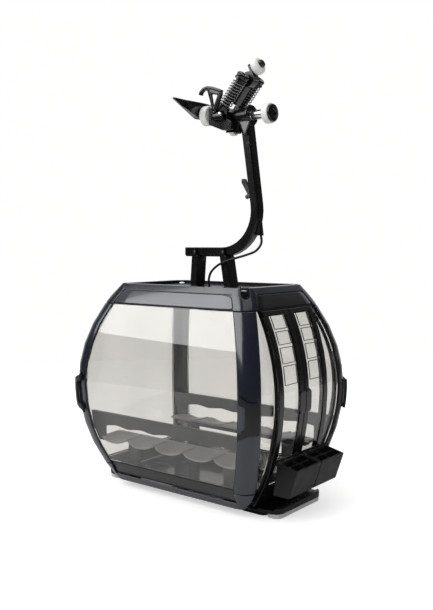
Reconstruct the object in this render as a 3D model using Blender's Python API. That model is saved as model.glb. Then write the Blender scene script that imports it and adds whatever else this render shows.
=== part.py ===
"""Scale model of a detachable ropeway cabin, standing on its two skids.

Metres, +Z up. +X is the door side, Y is the direction of the rope, and z = 0 is the floor
that the skids stand on. The walls are barrel shaped: every level is a rounded rectangle that
is widest at WIDEST_Z and draws in above and below on two arcs.
"""

import math

import bmesh
import bpy
from mathutils import Matrix, Vector

# Clearance between neighbouring pieces, and of a turning bore on its shaft
GAP = 0.0003
RUNNING_GAP = 0.00012

# Cabin shell
CABIN_WIDTH = 0.0740
CABIN_DEPTH = 0.0536
FLOOR_Z = 0.0023
WIDEST_Z = 0.0350
TRAY_SEAM_Z = 0.0080
ROOF_SEAM_Z = 0.0621
ROOF_TOP_Z = 0.0684
BARREL_R_UPPER = 0.0582
BARREL_R_LOWER = 0.0627
CORNER_R = 0.0040
PILLAR_FRONT = 0.0055
PILLAR_SIDE = 0.0040
FRAME_WALL = 0.0016
FLOOR_PLATE = 0.0013
SILL_TOP_Z = 0.0046
BAND_TOP_Z = 0.0092
BAND_INSET = 0.0007
BAND_WALL = 0.0009
PANE_INSET = 0.0004
PANE_WALL = 0.0008

# Roof
DECK_Z = 0.0674
DECK_PLATE = 0.0026
RIM_WALL = 0.0022
NOTCH_WIDTH = 0.0028
NOTCH_FLOOR_Z = 0.0652
RECESS_DEPTH = 0.0004
RECESS_EDGE = 0.0011
RECESS_HEAD = 0.0019

# Doors
DOOR_HALF_WIDTH = 0.0136
DOOR_BOTTOM_Z = 0.0028
DOOR_TOP_Z = 0.0617
DOOR_WALL = 0.0012
DOOR_POST = 0.0024
DOOR_HEAD = 0.0013
DOOR_FOOT = 0.0064
DOOR_GLASS_WALL = 0.0006
JAMB_WIDTH = 0.0014
LINTEL_HEIGHT = 0.0014
SURROUND_WALL = 0.0011
RUB_PLATE_Z = (0.0304, 0.0374)
RUB_PLATE_WIDTH = 0.0031
RUB_PLATE_PROUD = 0.0005
RUB_PLATE_CORNER = 0.0008

# Ski boxes
SKI_TOP_Z = 0.0179
SKI_BOTTOM_Z = 0.0076
SKI_TOP_DEPTH = 0.0082
SKI_TOP_DROP = 0.0018
SKI_FOOT_DRAW = 0.0005
SKI_FOOT_DEPTH = 0.0063
SKI_WALL = 0.0007
SKI_BACK_ROW = 0.0027
SKI_CELLS = (2, 2)
SKI_SLOT_SHARE = 0.68

# Corner pads
PAD_BOTTOM_Z = 0.0278
PAD_TOP_Z = 0.0372
PAD_FLARE = 0.0021
PAD_ARM = 0.0025
PAD_FRONT_REACH = 0.0047
PAD_SIDE_REACH = 0.0026
PAD_WALL = 0.0009

# Skids
SKID_INSET = 0.0008
SKID_WIDTH = 0.0160
SKID_HALF_LENGTH = 0.0128
SKID_END_R = 0.0034
SKID_WALL = 0.0006
SKID_CHAMFER = 0.0004
STRIP_WALL = 0.0011
STRIP_INSET = 0.0006

# Benches
SEAT_COUNT = 5
SEAT_Z = 0.0190
SEAT_WALL = 0.0009
SEAT_DEPTH = 0.0061
SEAT_PITCH = 0.0106
SEAT_DISH = 0.0012
SEAT_LIP = 0.0008
SEAT_NOTCH = 0.0013
BEAM_HEIGHT = 0.0016
BEAM_DEPTH = 0.0026
BEAM_Y = 0.0155
LEG_WIDTH = 0.0042
LEG_DEPTH = 0.0014
LEG_X = 0.0195
BACKREST_BOTTOM_Z = 0.0212
BACKREST_TOP_Z = 0.0256
BACKREST_WALL = 0.0012
BACKREST_Y = 0.0216
BACKREST_SCALLOP = 0.0007
BACKREST_FOOT_Z = 0.0162
BACKREST_FOOT_X = 0.0275

# Hanger
ARM_WIDTH = 0.0030
ARM_THICK = 0.0030
ARM_BAR_Z = 0.0788
ARM_BAR_END_X = -0.0094
ARM_BEND_X = 0.0060
ARM_BEND_R = 0.0130
ARM_LEAN = 8.0
ARM_REBATE = 0.0004
POST_WIDTH = 0.0027
POST_CHEEK = 0.0005
POST_TAB = 0.0006
POST_TOP_X = (-0.0045, 0.0072)
POST_FOOT_X = (-0.0052, 0.0089)
EYE_X = (0.0112, 0.0170)
EYE_R = 0.0026
EYE_RIM = 0.0006
EYE_RIM_LENGTH = 0.0009
BOSS_R = 0.0009
BOSS_PROUD = 0.0003
BOSS_DROP = 0.0094
GUSSET_WALL = 0.0006
GUSSET_DROP = 0.0062
HOOK_RISE = 0.0062
HOOK_WALL = 0.0012
HOOK_REACH = 0.0032
KNOB_R = 0.0008
GLAND_DROP = (0.0034, 0.0078)
GLAND_WALL = 0.0018
GLAND_PROUD = 0.0006
CABLE_R = 0.00038
CABLE_ROUTE = (
    (0.0209, -0.0004, 0.0816),
    (0.0194, -0.0013, 0.0792),
    (0.0160, -0.0024, 0.0778),
    (0.0108, -0.0031, 0.0764),
    (0.0064, -0.0033, 0.0748),
    (0.0028, -0.0027, 0.0724),
    (0.0010, -0.0017, 0.0698),
)
CABLE_FOOT = (0.0006, -0.0010)

# Grip, with heights counted from the shaft's axis
AXIS_Z = 0.1212
SHAFT_R = 0.0015
SHAFT_END_X = 0.0243
BODY_X = (0.0034, 0.0108)
BODY_HALF_Y = 0.0048
BODY_TOP = 0.0030
BODY_FOOT = (-0.0022, -0.0044)
BODY_CAP = 0.0010
CHEEK_X = 0.0124
CHEEK_HALF_Y = 0.0036
CHEEK_TOP = (-0.0006, -0.0019)
WHEEL_CROWN = 0.35
OUTER_WHEEL_R = 0.0031
OUTER_WHEEL_WIDTH = 0.0021
INNER_WHEEL_X = -0.0006
INNER_WHEEL_RISE = 0.0015
INNER_WHEEL_R = 0.0032
INNER_WHEEL_WIDTH = 0.0028
INNER_PIN_R = 0.0010
HUB_R = 0.0027
HUB_WALL = 0.0005
HUB_SOCKET_R = 0.0011
TOP_WHEEL_X = 0.0190
TOP_WHEEL_RISE = 0.0146
TOP_WHEEL_R = 0.00265
TOP_WHEEL_WIDTH = 0.0027
TOP_WHEEL_CROWN = 0.72
TOP_WHEEL_TILT = 24.0
TOP_HUB_R = 0.0012
LOW_WHEEL_X = 0.0098
LOW_WHEEL_RISE = -0.0038
LOW_WHEEL_R = 0.0019
LOW_WHEEL_WIDTH = 0.0018
PIN_R = 0.0006
SPRING_Y = 0.0040
SPRING_FOOT_X = 0.0092
SPRING_FOOT_RISE = 0.0031
SPRING_LENGTH = 0.0094
SPRING_LEAN = 49.0
SPRING_COIL_R = 0.0019
SPRING_WIRE_R = 0.00022
SPRING_TURNS = 9
ROD_R = 0.0013
CAP_R = 0.0021
CAP_LENGTH = 0.0022
LEVER_WALL = 0.0024
LEVER_HALF_Y = 0.0014
YOKE_R = 0.0024
YOKE_ALONG = 0.0104
FORK_WALL = 0.0009
FORK_HEIGHT = 0.0036
GUIDE_TIP_Y = 0.0136
GUIDE_BASE_Y = 0.0012
GUIDE_TOP = 0.0059
GUIDE_RIDGE = 0.0040
GUIDE_FOOT = 0.0005
GUIDE_THICK = 0.0026
ROPE_R = 0.0009
BRACKET_WALL = 0.0011
BRACKET_RIM = 0.0011
BRACKET_CORNERS = ((0.0030, 0.0090), (0.0088, 0.0070), (0.0054, 0.0004))
BRACKET_FOOT = ((0.0046, 0.0028), (0.0052, -0.0012), (0.0094, -0.0012), (0.0094, 0.0004), (0.0068, 0.0020))
ARCH_BACK_Y = -0.0014
ARCH_WALL = 0.0011
ARCH_LINE = ((-0.0002, 0.0084), (0.0006, 0.0096), (0.0026, 0.0101), (0.0054, 0.0092), (0.0080, 0.0072))

# Colours
BLUE_GREY = (0.045, 0.050, 0.062, 1.0)
BLACK = (0.010, 0.010, 0.011, 1.0)
MID_GREY = (0.110, 0.112, 0.120, 1.0)
LIGHT_GREY = (0.600, 0.600, 0.600, 1.0)
WHITE = (0.820, 0.820, 0.800, 1.0)
SILVER = (0.620, 0.610, 0.590, 1.0)
SMOKE = (0.520, 0.500, 0.480, 1.0)

# Facets
BARREL_ROWS = 9
CORNER_STEPS = 4
ROUND_SIDES = 24


def clear_scene():
    for thing in list(bpy.data.objects):
        bpy.data.objects.remove(thing, do_unlink=True)


def make_material(name, colour, roughness, metallic=0.0):
    material = bpy.data.materials.new(name)
    material.use_nodes = True
    shader = material.node_tree.nodes["Principled BSDF"]
    shader.inputs["Base Color"].default_value = colour
    shader.inputs["Roughness"].default_value = roughness
    shader.inputs["Metallic"].default_value = metallic
    return material


def add_object(name, bm, material, smooth_angle=35.0):
    """Turn a bmesh into a named object with its faces pointing out."""
    bmesh.ops.recalc_face_normals(bm, faces=bm.faces)
    mesh = bpy.data.meshes.new(name)
    bm.to_mesh(mesh)
    bm.free()
    mesh.shade_smooth()
    mesh.set_sharp_from_angle(angle=math.radians(smooth_angle))
    thing = bpy.data.objects.new(name, mesh)
    thing.data.materials.append(material)
    bpy.context.scene.collection.objects.link(thing)
    return thing


def boolean(thing, bm, operation="DIFFERENCE"):
    """Cut a hidden shape out of an object, or join it on with operation UNION."""
    bmesh.ops.recalc_face_normals(bm, faces=bm.faces)
    mesh = bpy.data.meshes.new("cutter")
    bm.to_mesh(mesh)
    bm.free()
    other = bpy.data.objects.new("cutter", mesh)
    other.hide_render = True
    other.display_type = "WIRE"
    bpy.context.scene.collection.objects.link(other)
    step = thing.modifiers.new("Boolean", "BOOLEAN")
    step.operation = operation
    step.solver = "EXACT"
    step.object = other


# Plain solids
def loft(rings):
    """Closed solid through rings of equal length, with flat ends."""
    bm = bmesh.new()
    rows = [[bm.verts.new(point) for point in ring] for ring in rings]
    count = len(rows[0])
    for lower, upper in zip(rows, rows[1:]):
        for i in range(count):
            j = (i + 1) % count
            bm.faces.new((lower[i], lower[j], upper[j], upper[i]))
    bm.faces.new(list(reversed(rows[0])))
    bm.faces.new(rows[-1])
    return bm


def sheet_solid(outer, inner, mask=None):
    """Closed plate between two grids of points. Cells that mask leaves out are open."""
    rows = len(outer) - 1
    cols = len(outer[0]) - 1

    def kept(i, j):
        inside = 0 <= i < rows and 0 <= j < cols
        return inside and (mask is None or mask(i, j))

    bm = bmesh.new()
    found = {}

    def vert(side, i, j):
        key = (side, i, j)
        if key not in found:
            found[key] = bm.verts.new((outer if side else inner)[i][j])
        return found[key]

    for i in range(rows):
        for j in range(cols):
            if not kept(i, j):
                continue
            corners = ((i, j), (i, j + 1), (i + 1, j + 1), (i + 1, j))
            bm.faces.new([vert(1, *c) for c in corners])
            bm.faces.new([vert(0, *c) for c in reversed(corners)])
            neighbours = (((i - 1, j), 0, 1), ((i, j + 1), 1, 2), ((i + 1, j), 2, 3), ((i, j - 1), 3, 0))
            for cell, a, b in neighbours:
                if not kept(*cell):
                    p = corners[a]
                    q = corners[b]
                    bm.faces.new((vert(1, *p), vert(0, *p), vert(0, *q), vert(1, *q)))
    return bm


def box(low, high):
    bm = bmesh.new()
    bmesh.ops.create_cube(bm, size=1.0)
    size = [high[i] - low[i] for i in range(3)]
    centre = [(high[i] + low[i]) / 2 for i in range(3)]
    bmesh.ops.scale(bm, vec=size, verts=bm.verts)
    bmesh.ops.translate(bm, vec=centre, verts=bm.verts)
    return bm


def prism(outline, axis, low, high):
    """Outline of two coordinates, carried along X, Y or Z from low to high."""
    def place(point, depth):
        if axis == "x":
            return Vector((depth, point[0], point[1]))
        if axis == "y":
            return Vector((point[0], depth, point[1]))
        return Vector((point[0], point[1], depth))
    return loft([[place(p, low) for p in outline], [place(p, high) for p in outline]])


def circle(centre, radius, sides=ROUND_SIDES):
    turns = [2 * math.pi * i / sides for i in range(sides)]
    return [(centre[0] + radius * math.cos(a), centre[1] + radius * math.sin(a)) for a in turns]


def rounded(points, radius, steps=3):
    """Outline with its corners cut round."""
    result = []
    count = len(points)
    for i in range(count):
        here = Vector(points[i])
        back = (Vector(points[i - 1]) - here).normalized()
        ahead = (Vector(points[(i + 1) % count]) - here).normalized()
        half = back.angle(ahead) / 2
        reach = radius / math.tan(half)
        middle = here + (back + ahead).normalized() * (radius / math.sin(half))
        start = here + back * reach - middle
        end = here + ahead * reach - middle
        for k in range(steps + 1):
            mix = start.lerp(end, k / steps).normalized() * radius
            result.append(tuple(middle + mix))
    return result


def shrunk(points, inset):
    """Outline moved inwards by the same distance on every side. It runs anticlockwise."""
    result = []
    count = len(points)
    for i in range(count):
        here = Vector(points[i])
        back = (here - Vector(points[i - 1])).normalized()
        ahead = (Vector(points[(i + 1) % count]) - here).normalized()
        normal_back = Vector((-back.y, back.x))
        normal_ahead = Vector((-ahead.y, ahead.x))
        middle = (normal_back + normal_ahead).normalized()
        result.append(tuple(here + middle * (inset / middle.dot(normal_back))))
    return result


def turned(profile, place, sides=ROUND_SIDES):
    """Solid of revolution about local X, from a closed (x, radius) outline off the axis."""
    bm = bmesh.new()
    rows = []
    for i in range(sides):
        angle = 2 * math.pi * i / sides
        rows.append([bm.verts.new((x, r * math.cos(angle), r * math.sin(angle))) for x, r in profile])
    count = len(profile)
    for i in range(sides):
        here = rows[i]
        there = rows[(i + 1) % sides]
        for k in range(count):
            m = (k + 1) % count
            bm.faces.new((here[k], here[m], there[m], there[k]))
    bm.transform(place)
    return bm


def stepped_rod(profile, place, sides=ROUND_SIDES):
    """Solid round bar along local X, from (x, radius) pairs."""
    rings = [[Vector((x, y, z)) for y, z in circle((0.0, 0.0), r, sides)] for x, r in profile]
    bm = loft(rings)
    bm.transform(place)
    return bm


def leaning(x, y, z, lean):
    """Placement at a point with local X tipped up from +X by lean degrees, about -Y."""
    return Matrix.Translation((x, y, z)) @ Matrix.Rotation(math.radians(-lean), 4, "Y")


# Barrel shell: insets, levels and patches
def draw_in(z):
    """How far the wall lies inside its widest line at height z."""
    radius = BARREL_R_UPPER if z > WIDEST_Z else BARREL_R_LOWER
    return radius - math.sqrt(radius * radius - (z - WIDEST_Z) ** 2)


def half_width(z, inset=0.0):
    return CABIN_WIDTH / 2 - draw_in(z) - inset


def half_depth(z, inset=0.0):
    return CABIN_DEPTH / 2 - draw_in(z) - inset


def levels(low, high, count=BARREL_ROWS):
    return [low + (high - low) * i / (count - 1) for i in range(count)]


def level_ring(z, inset=0.0):
    """Rounded rectangle of the shell at height z, as a list of points."""
    width = half_width(z, inset)
    depth = half_depth(z, inset)
    radius = CORNER_R - inset
    points = []
    for quarter, (sx, sy) in enumerate(((1, 1), (-1, 1), (-1, -1), (1, -1))):
        for i in range(CORNER_STEPS + 1):
            angle = math.pi / 2 * (quarter + i / CORNER_STEPS)
            x = sx * (width - radius) + radius * math.cos(angle)
            y = sy * (depth - radius) + radius * math.sin(angle)
            points.append(Vector((x, y, z)))
    return points


def shell_block(low, high, inset, rows):
    return loft([level_ring(z, inset) for z in levels(low, high, rows)])


def wall_point(side, along, z, inset):
    """Point on a flat wall: side is +x, -x, +y or -y, and along runs across that wall."""
    if side == "+x":
        return Vector((half_width(z, inset), along, z))
    if side == "-x":
        return Vector((-half_width(z, inset), along, z))
    if side == "+y":
        return Vector((along, half_depth(z, inset), z))
    return Vector((along, -half_depth(z, inset), z))


def wall_panel(side, heights, edges, inset, wall, mask=None):
    """Curved plate on one wall. edges are functions of z that give its columns."""
    outer = [[wall_point(side, edge(z), z, inset) for edge in edges] for z in heights]
    inner = [[wall_point(side, edge(z), z, inset + wall) for edge in edges] for z in heights]
    return sheet_solid(outer, inner, mask)


def both_ways(reach):
    return (lambda z: -reach(z), lambda z: reach(z))


def corner_end(side_reach):
    """Angle above X at which a band round a corner ends. One that reaches the X wall ends at 0."""
    return math.asin(max(0.0, 1.0 - side_reach / CORNER_R))


def corner_band(sx, sy, z, inset, front_reach, side_reach):
    """Points round one corner of the shell, from its Y wall to its X wall or short of it."""
    width = half_width(z)
    depth = half_depth(z)
    radius = CORNER_R - inset
    points = [(width - front_reach, depth - inset)]
    end = corner_end(side_reach)
    for i in range(CORNER_STEPS + 1):
        angle = math.pi / 2 + (end - math.pi / 2) * i / CORNER_STEPS
        x = width - CORNER_R + radius * math.cos(angle)
        y = depth - CORNER_R + radius * math.sin(angle)
        points.append((x, y))
    if side_reach > CORNER_R:
        points.append((width - inset, depth - side_reach))
    return [Vector((sx * x, sy * y, z)) for x, y in points]


CORNERS = (("front_door", 1, -1), ("rear_door", 1, 1), ("front_blind", -1, -1), ("rear_blind", -1, 1))


# Cabin pieces
def tray_post_y():
    """Distance from the middle at which the tray's corner posts begin."""
    return half_depth(TRAY_SEAM_Z) - PILLAR_SIDE


def make_floor_tray(material):
    """Tray with four corner posts, low walls on three sides and a step for the doors."""
    tray = add_object("floor_tray", shell_block(FLOOR_Z, TRAY_SEAM_Z, 0.0, 4), material)
    boolean(tray, shell_block(FLOOR_Z + FLOOR_PLATE, TRAY_SEAM_Z + GAP, FRAME_WALL, 3))
    wide = half_width(TRAY_SEAM_Z) - PILLAR_FRONT
    deep = tray_post_y()
    far = CABIN_WIDTH
    above = TRAY_SEAM_Z + GAP
    boolean(tray, box((-far, -deep, SILL_TOP_Z), (0.0, deep, above)))
    boolean(tray, box((0.0, -deep, FLOOR_Z + FLOOR_PLATE), (far, deep, above)))
    boolean(tray, box((-wide, -far, SILL_TOP_Z), (wide, far, above)))
    edges = both_ways(lambda z: deep)
    step = levels(FLOOR_Z - GAP, FLOOR_Z + FLOOR_PLATE + GAP, 3)
    boolean(tray, wall_panel("+x", step, edges, -CORNER_R, CORNER_R + DOOR_WALL + GAP))


def make_bands(material):
    """Recessed dark bands that fill the wall between the sill and the windows."""
    wide = half_width(TRAY_SEAM_Z) - PILLAR_FRONT - GAP
    deep = tray_post_y() - GAP
    heights = levels(SILL_TOP_Z + GAP, BAND_TOP_Z, 3)
    for name, side, reach in (("front", "-y", wide), ("rear", "+y", wide), ("blind_side", "-x", deep)):
        edges = both_ways(lambda z: reach)
        add_object("band_" + name, wall_panel(side, heights, edges, BAND_INSET, BAND_WALL), material)


def make_pillars(material):
    heights = levels(TRAY_SEAM_Z + GAP, ROOF_SEAM_Z - GAP)
    for name, sx, sy in CORNERS:
        outer = [corner_band(sx, sy, z, 0.0, PILLAR_FRONT, PILLAR_SIDE) for z in heights]
        inner = [corner_band(sx, sy, z, FRAME_WALL, PILLAR_FRONT, PILLAR_SIDE) for z in heights]
        add_object("pillar_" + name, sheet_solid(outer, inner), material)


def make_windows(material):
    heights = levels(BAND_TOP_Z + GAP, ROOF_SEAM_Z - GAP)
    wide = both_ways(lambda z: half_width(z) - PILLAR_FRONT - GAP)
    deep = both_ways(lambda z: half_depth(z) - PILLAR_SIDE - GAP)
    for name, side, edges in (("front", "-y", wide), ("rear", "+y", wide), ("blind_side", "-x", deep)):
        add_object("window_" + name, wall_panel(side, heights, edges, PANE_INSET, PANE_WALL), material)


def side_pane_heights():
    """Levels between which the pane beside a door is wide enough to be moulded."""
    least = PANE_WALL
    room = CABIN_DEPTH / 2 - PILLAR_SIDE - GAP - (DOOR_HALF_WIDTH + GAP) - least
    up = math.sqrt(BARREL_R_UPPER ** 2 - (BARREL_R_UPPER - room) ** 2)
    down = math.sqrt(BARREL_R_LOWER ** 2 - (BARREL_R_LOWER - room) ** 2)
    low = max(WIDEST_Z - down, TRAY_SEAM_Z + 2 * GAP)
    high = min(WIDEST_Z + up, ROOF_SEAM_Z - GAP)
    return levels(low, high)


def make_side_panes(material):
    for name, sy in (("front", -1), ("rear", 1)):
        edges = (lambda z: sy * (DOOR_HALF_WIDTH + GAP), lambda z: sy * (half_depth(z) - PILLAR_SIDE - GAP))
        bm = wall_panel("+x", side_pane_heights(), edges, DOOR_WALL + GAP, PANE_WALL)
        add_object("side_pane_" + name, bm, material)


def make_door_surround(material):
    """Fixed jambs and lintel behind the two door leaves, with a foot plate beside each jamb."""
    high = ROOF_SEAM_Z - GAP
    foot = tray_post_y() - GAP
    outer = DOOR_HALF_WIDTH
    inner = outer - JAMB_WIDTH
    foot_top = side_pane_heights()[0] - GAP
    heights = [FLOOR_Z + FLOOR_PLATE + GAP] + levels(foot_top, high - LINTEL_HEIGHT) + [high]
    edges = [lambda z, y=y: y for y in (-foot, -outer, -inner, inner, outer, foot)]
    last = len(heights) - 2

    def kept(i, j):
        return (j in (1, 3)) or (i == last and j == 2) or (i == 0 and j in (0, 4))

    bm = wall_panel("+x", heights, edges, DOOR_WALL + GAP, SURROUND_WALL, kept)
    add_object("door_surround", bm, material)


def make_roof(material):
    """Cap with a hollow below, a shallow deck above, four notched corners and recessed sides."""
    roof = add_object("roof_cap", shell_block(ROOF_SEAM_Z, ROOF_TOP_Z, 0.0, 4), material)
    boolean(roof, shell_block(ROOF_SEAM_Z - GAP, DECK_Z - DECK_PLATE, FRAME_WALL, 3))
    boolean(roof, shell_block(DECK_Z, ROOF_TOP_Z + GAP, RIM_WALL, 3))
    for name, sx, sy in CORNERS:
        inside = RIM_WALL + GAP
        centre = Vector((sx * half_width(DECK_Z, CORNER_R), sy * half_depth(DECK_Z, CORNER_R), 0.0))
        half = NOTCH_WIDTH / 2
        slot = [(y, NOTCH_FLOOR_Z + half - half * math.cos(a)) for y, a in
                ((half * math.sin(t), t) for t in (math.pi / 2 * i / 3 for i in range(-3, 4)))]
        slot += [(half, ROOF_TOP_Z + GAP), (-half, ROOF_TOP_Z + GAP)]
        bm = prism(slot, "x", CORNER_R - inside, 3 * CORNER_R)
        bm.transform(Matrix.Translation(centre) @ Matrix.Rotation(math.atan2(sy, sx), 4, "Z"))
        boolean(roof, bm)
    heights = levels(ROOF_SEAM_Z - GAP, ROOF_TOP_Z - RECESS_HEAD, 3)
    wide = both_ways(lambda z: half_width(z) - PILLAR_FRONT)
    deep = both_ways(lambda z: half_depth(z) - PILLAR_SIDE - RECESS_EDGE)
    for side, edges in (("-y", wide), ("+y", wide), ("+x", deep), ("-x", deep)):
        boolean(roof, wall_panel(side, heights, edges, -CORNER_R, CORNER_R + RECESS_DEPTH))


# Doors
def make_leaf(name, sy, material):
    """Leaf frame with a window opening and a widened rub plate on its centre post."""
    outer = DOOR_HALF_WIDTH
    centre = GAP / 2
    ys = (outer, outer - DOOR_POST, centre + DOOR_POST, centre)
    edges = [lambda z, y=y: sy * y for y in ys]
    opening = levels(DOOR_BOTTOM_Z + DOOR_FOOT, DOOR_TOP_Z - DOOR_HEAD)
    heights = [DOOR_BOTTOM_Z] + opening + [DOOR_TOP_Z]
    last = len(heights) - 2
    bm = wall_panel("+x", heights, edges, 0.0, DOOR_WALL, lambda i, j: j != 1 or i in (0, last))
    leaf = add_object("leaf_" + name, bm, material)
    low, high = RUB_PLATE_Z
    cut = RUB_PLATE_CORNER
    narrow = centre + DOOR_POST
    wide = centre + RUB_PLATE_WIDTH
    plate_heights = (low, low + cut, (low + high) / 2, high - cut, high)
    reach = dict(zip(plate_heights, (narrow, wide, wide, wide, narrow)))
    plate_edges = (lambda z: sy * centre, lambda z: sy * reach[z])
    plate = wall_panel("+x", plate_heights, plate_edges, -RUB_PLATE_PROUD, RUB_PLATE_PROUD + GAP / 2)
    boolean(leaf, plate, "UNION")


def make_leaf_glass(name, sy, material):
    heights = levels(DOOR_BOTTOM_Z + DOOR_FOOT + GAP, DOOR_TOP_Z - DOOR_HEAD - GAP)
    edges = (lambda z: sy * (DOOR_HALF_WIDTH - DOOR_POST - GAP), lambda z: sy * (GAP / 2 + DOOR_POST + GAP))
    inset = (DOOR_WALL - DOOR_GLASS_WALL) / 2
    add_object("leaf_glass_" + name, wall_panel("+x", heights, edges, inset, DOOR_GLASS_WALL), material)


def ski_point(across, down):
    """Point of the ski box's cross-section: across 0 to 1 from the door, down 0 to 1 from the top."""
    seat = half_width(SKI_TOP_Z) + GAP
    top = Vector((seat + SKI_TOP_DEPTH * across, SKI_TOP_Z - SKI_TOP_DROP * across))
    foot = Vector((seat - SKI_FOOT_DRAW + SKI_FOOT_DEPTH * across, SKI_BOTTOM_Z))
    return tuple(top.lerp(foot, down))


def make_ski_box(name, sy, material):
    """Open-topped box with a back and a front row of slots."""
    low, high = sorted((sy * GAP / 2, sy * DOOR_HALF_WIDTH))
    outline = [ski_point(across, down) for across, down in ((0, 0), (0, 1), (1, 1), (1, 0))]
    ski = add_object("ski_box_" + name, prism(outline, "y", low, high), material)
    wall = SKI_WALL / SKI_TOP_DEPTH
    split = wall + SKI_BACK_ROW / SKI_TOP_DEPTH
    mouth = -0.1
    for start, end, cells in zip((wall, split + wall), (split, 1 - wall), SKI_CELLS):
        cell = (high - low - SKI_WALL * (cells + 1)) / cells
        slot = [ski_point(across, down) for across, down in
                ((start, mouth), (start, SKI_SLOT_SHARE), (end, SKI_SLOT_SHARE), (end, mouth))]
        for k in range(cells):
            near = low + SKI_WALL + k * (cell + SKI_WALL)
            boolean(ski, prism(slot, "y", near, near + cell))


def make_pads(material):
    """Rub pads that wrap the corners at mid height and fork into two flared arms at the front."""
    flared = 3
    forked = 2
    tall = PAD_TOP_Z - PAD_BOTTOM_Z + 2 * PAD_FLARE
    arm = PAD_ARM / tall
    shares = [0.0] + [arm + (1 - 2 * arm) * i / 3 for i in range(4)] + [1.0]

    def kept(i, j):
        return j >= forked or i in (0, len(shares) - 2)

    for name, sx, sy in CORNERS:
        grids = []
        for inset in (-GAP - PAD_WALL, -GAP):
            rows = []
            for share in shares:
                row = []
                for k in range(CORNER_STEPS + 2):
                    flare = PAD_FLARE * max(0.0, 1 - k / flared)
                    z = PAD_BOTTOM_Z - flare + (PAD_TOP_Z - PAD_BOTTOM_Z + 2 * flare) * share
                    row.append(corner_band(sx, sy, z, inset, PAD_FRONT_REACH, PAD_SIDE_REACH)[k])
                rows.append(row)
            grids.append(rows)
        add_object("pad_" + name, sheet_solid(*grids, kept), material)


def make_skids(rail_material, strip_material):
    """Flat runners with round ends, each on a light strip that stands on the floor."""
    reach = SKID_HALF_LENGTH
    outer_x = CABIN_WIDTH / 2 - SKID_INSET
    foot = STRIP_WALL + GAP
    for name, sx in (("door_side", 1), ("blind_side", -1)):
        low_x, high_x = sorted((sx * (outer_x - SKID_WIDTH), sx * outer_x))
        corners = ((low_x, -reach), (high_x, -reach), (high_x, reach), (low_x, reach))
        outline = rounded(corners, SKID_END_R)
        small = rounded(shrunk(corners, SKID_CHAMFER), SKID_END_R - SKID_CHAMFER)
        edge = foot + SKID_WALL - SKID_CHAMFER
        rings = [[Vector((*p, z)) for p in ring] for ring, z in
                 ((outline, foot), (outline, edge), (small, foot + SKID_WALL))]
        add_object("skid_" + name, loft(rings), rail_material)
        strip = rounded(shrunk(corners, STRIP_INSET), SKID_END_R - STRIP_INSET)
        add_object("skid_strip_" + name, prism(strip, "z", 0.0, STRIP_WALL), strip_material)


# Benches
def make_bench(name, sy, material):
    """Dished seats side by side, notched between them, on one beam with two legs."""
    span = SEAT_PITCH * SEAT_COUNT
    back = BACKREST_Y - BACKREST_WALL - GAP
    per_seat = 4
    columns = per_seat * SEAT_COUNT
    top = []
    under = []
    for share, lift in ((0.0, 0.0), (0.5, -SEAT_LIP / 2), (0.85, -SEAT_LIP / 4), (1.0, -SEAT_LIP)):
        top_row = []
        under_row = []
        for k in range(columns + 1):
            x = -span / 2 + span * k / columns
            dish = SEAT_DISH * (1 - math.cos(2 * math.pi * k / per_seat)) / 2
            depth = SEAT_DEPTH - (SEAT_NOTCH if k % per_seat == 0 else 0.0)
            point = Vector((x, sy * (back - depth * share), SEAT_Z + lift - dish))
            top_row.append(point)
            under_row.append(point - Vector((0.0, 0.0, SEAT_WALL)))
        top.append(top_row)
        under.append(under_row)
    bench = add_object("bench_" + name, sheet_solid(top, under), material)
    beam_top = SEAT_Z - SEAT_DISH - SEAT_LIP / 2 - SEAT_WALL / 2
    beam_low = beam_top - BEAM_HEIGHT
    low, high = sorted((sy * (BEAM_Y - BEAM_DEPTH / 2), sy * (BEAM_Y + BEAM_DEPTH / 2)))
    inside = span / 2 - SEAT_PITCH / 4
    boolean(bench, box((-inside, low, beam_low), (inside, high, beam_top)), "UNION")
    low, high = sorted((sy * (BEAM_Y - LEG_DEPTH / 2), sy * (BEAM_Y + LEG_DEPTH / 2)))
    floor = FLOOR_Z + FLOOR_PLATE + GAP
    for sx in (-1, 1):
        left = sx * LEG_X - LEG_WIDTH / 2
        leg = box((left, low, floor), (left + LEG_WIDTH, high, beam_low + BEAM_HEIGHT / 2))
        boolean(bench, leg, "UNION")


def inner_reach(y, z):
    """How far across the cabin is clear of walls and rounded corners, at depth y and height z."""
    radius = CORNER_R - FRAME_WALL
    into = max(0.0, y - half_depth(z, CORNER_R))
    pillar = half_width(z, FRAME_WALL + GAP) - (radius - math.sqrt(radius ** 2 - into ** 2))
    pane = half_width(z, DOOR_WALL + GAP + PANE_WALL + GAP)
    return min(pillar, pane)


def make_backrest(name, sy, material):
    """Rail behind the seats, scalloped below, with a foot at each end that follows the wall."""
    per_seat = 4
    columns = per_seat * SEAT_COUNT
    low = []
    for k in range(columns + 1):
        x = -BACKREST_FOOT_X + 2 * BACKREST_FOOT_X * k / columns
        wave = BACKREST_SCALLOP * (1 - math.cos(2 * math.pi * k / per_seat)) / 2
        low.append((x, BACKREST_BOTTOM_Z + wave))
    wall = [(inner_reach(BACKREST_Y, z), z) for z in levels(BACKREST_FOOT_Z, BACKREST_TOP_Z, 4)]
    foot = (BACKREST_FOOT_X, BACKREST_FOOT_Z)
    outline = low + [foot] + wall + [(-x, z) for x, z in reversed(wall)] + [(-foot[0], foot[1])]
    y0, y1 = sorted((sy * (BACKREST_Y - BACKREST_WALL), sy * BACKREST_Y))
    add_object("backrest_" + name, prism(outline, "y", y0, y1), material)


# Hanger
def bend_centre_z():
    return ARM_BAR_Z + ARM_BEND_R


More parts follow.
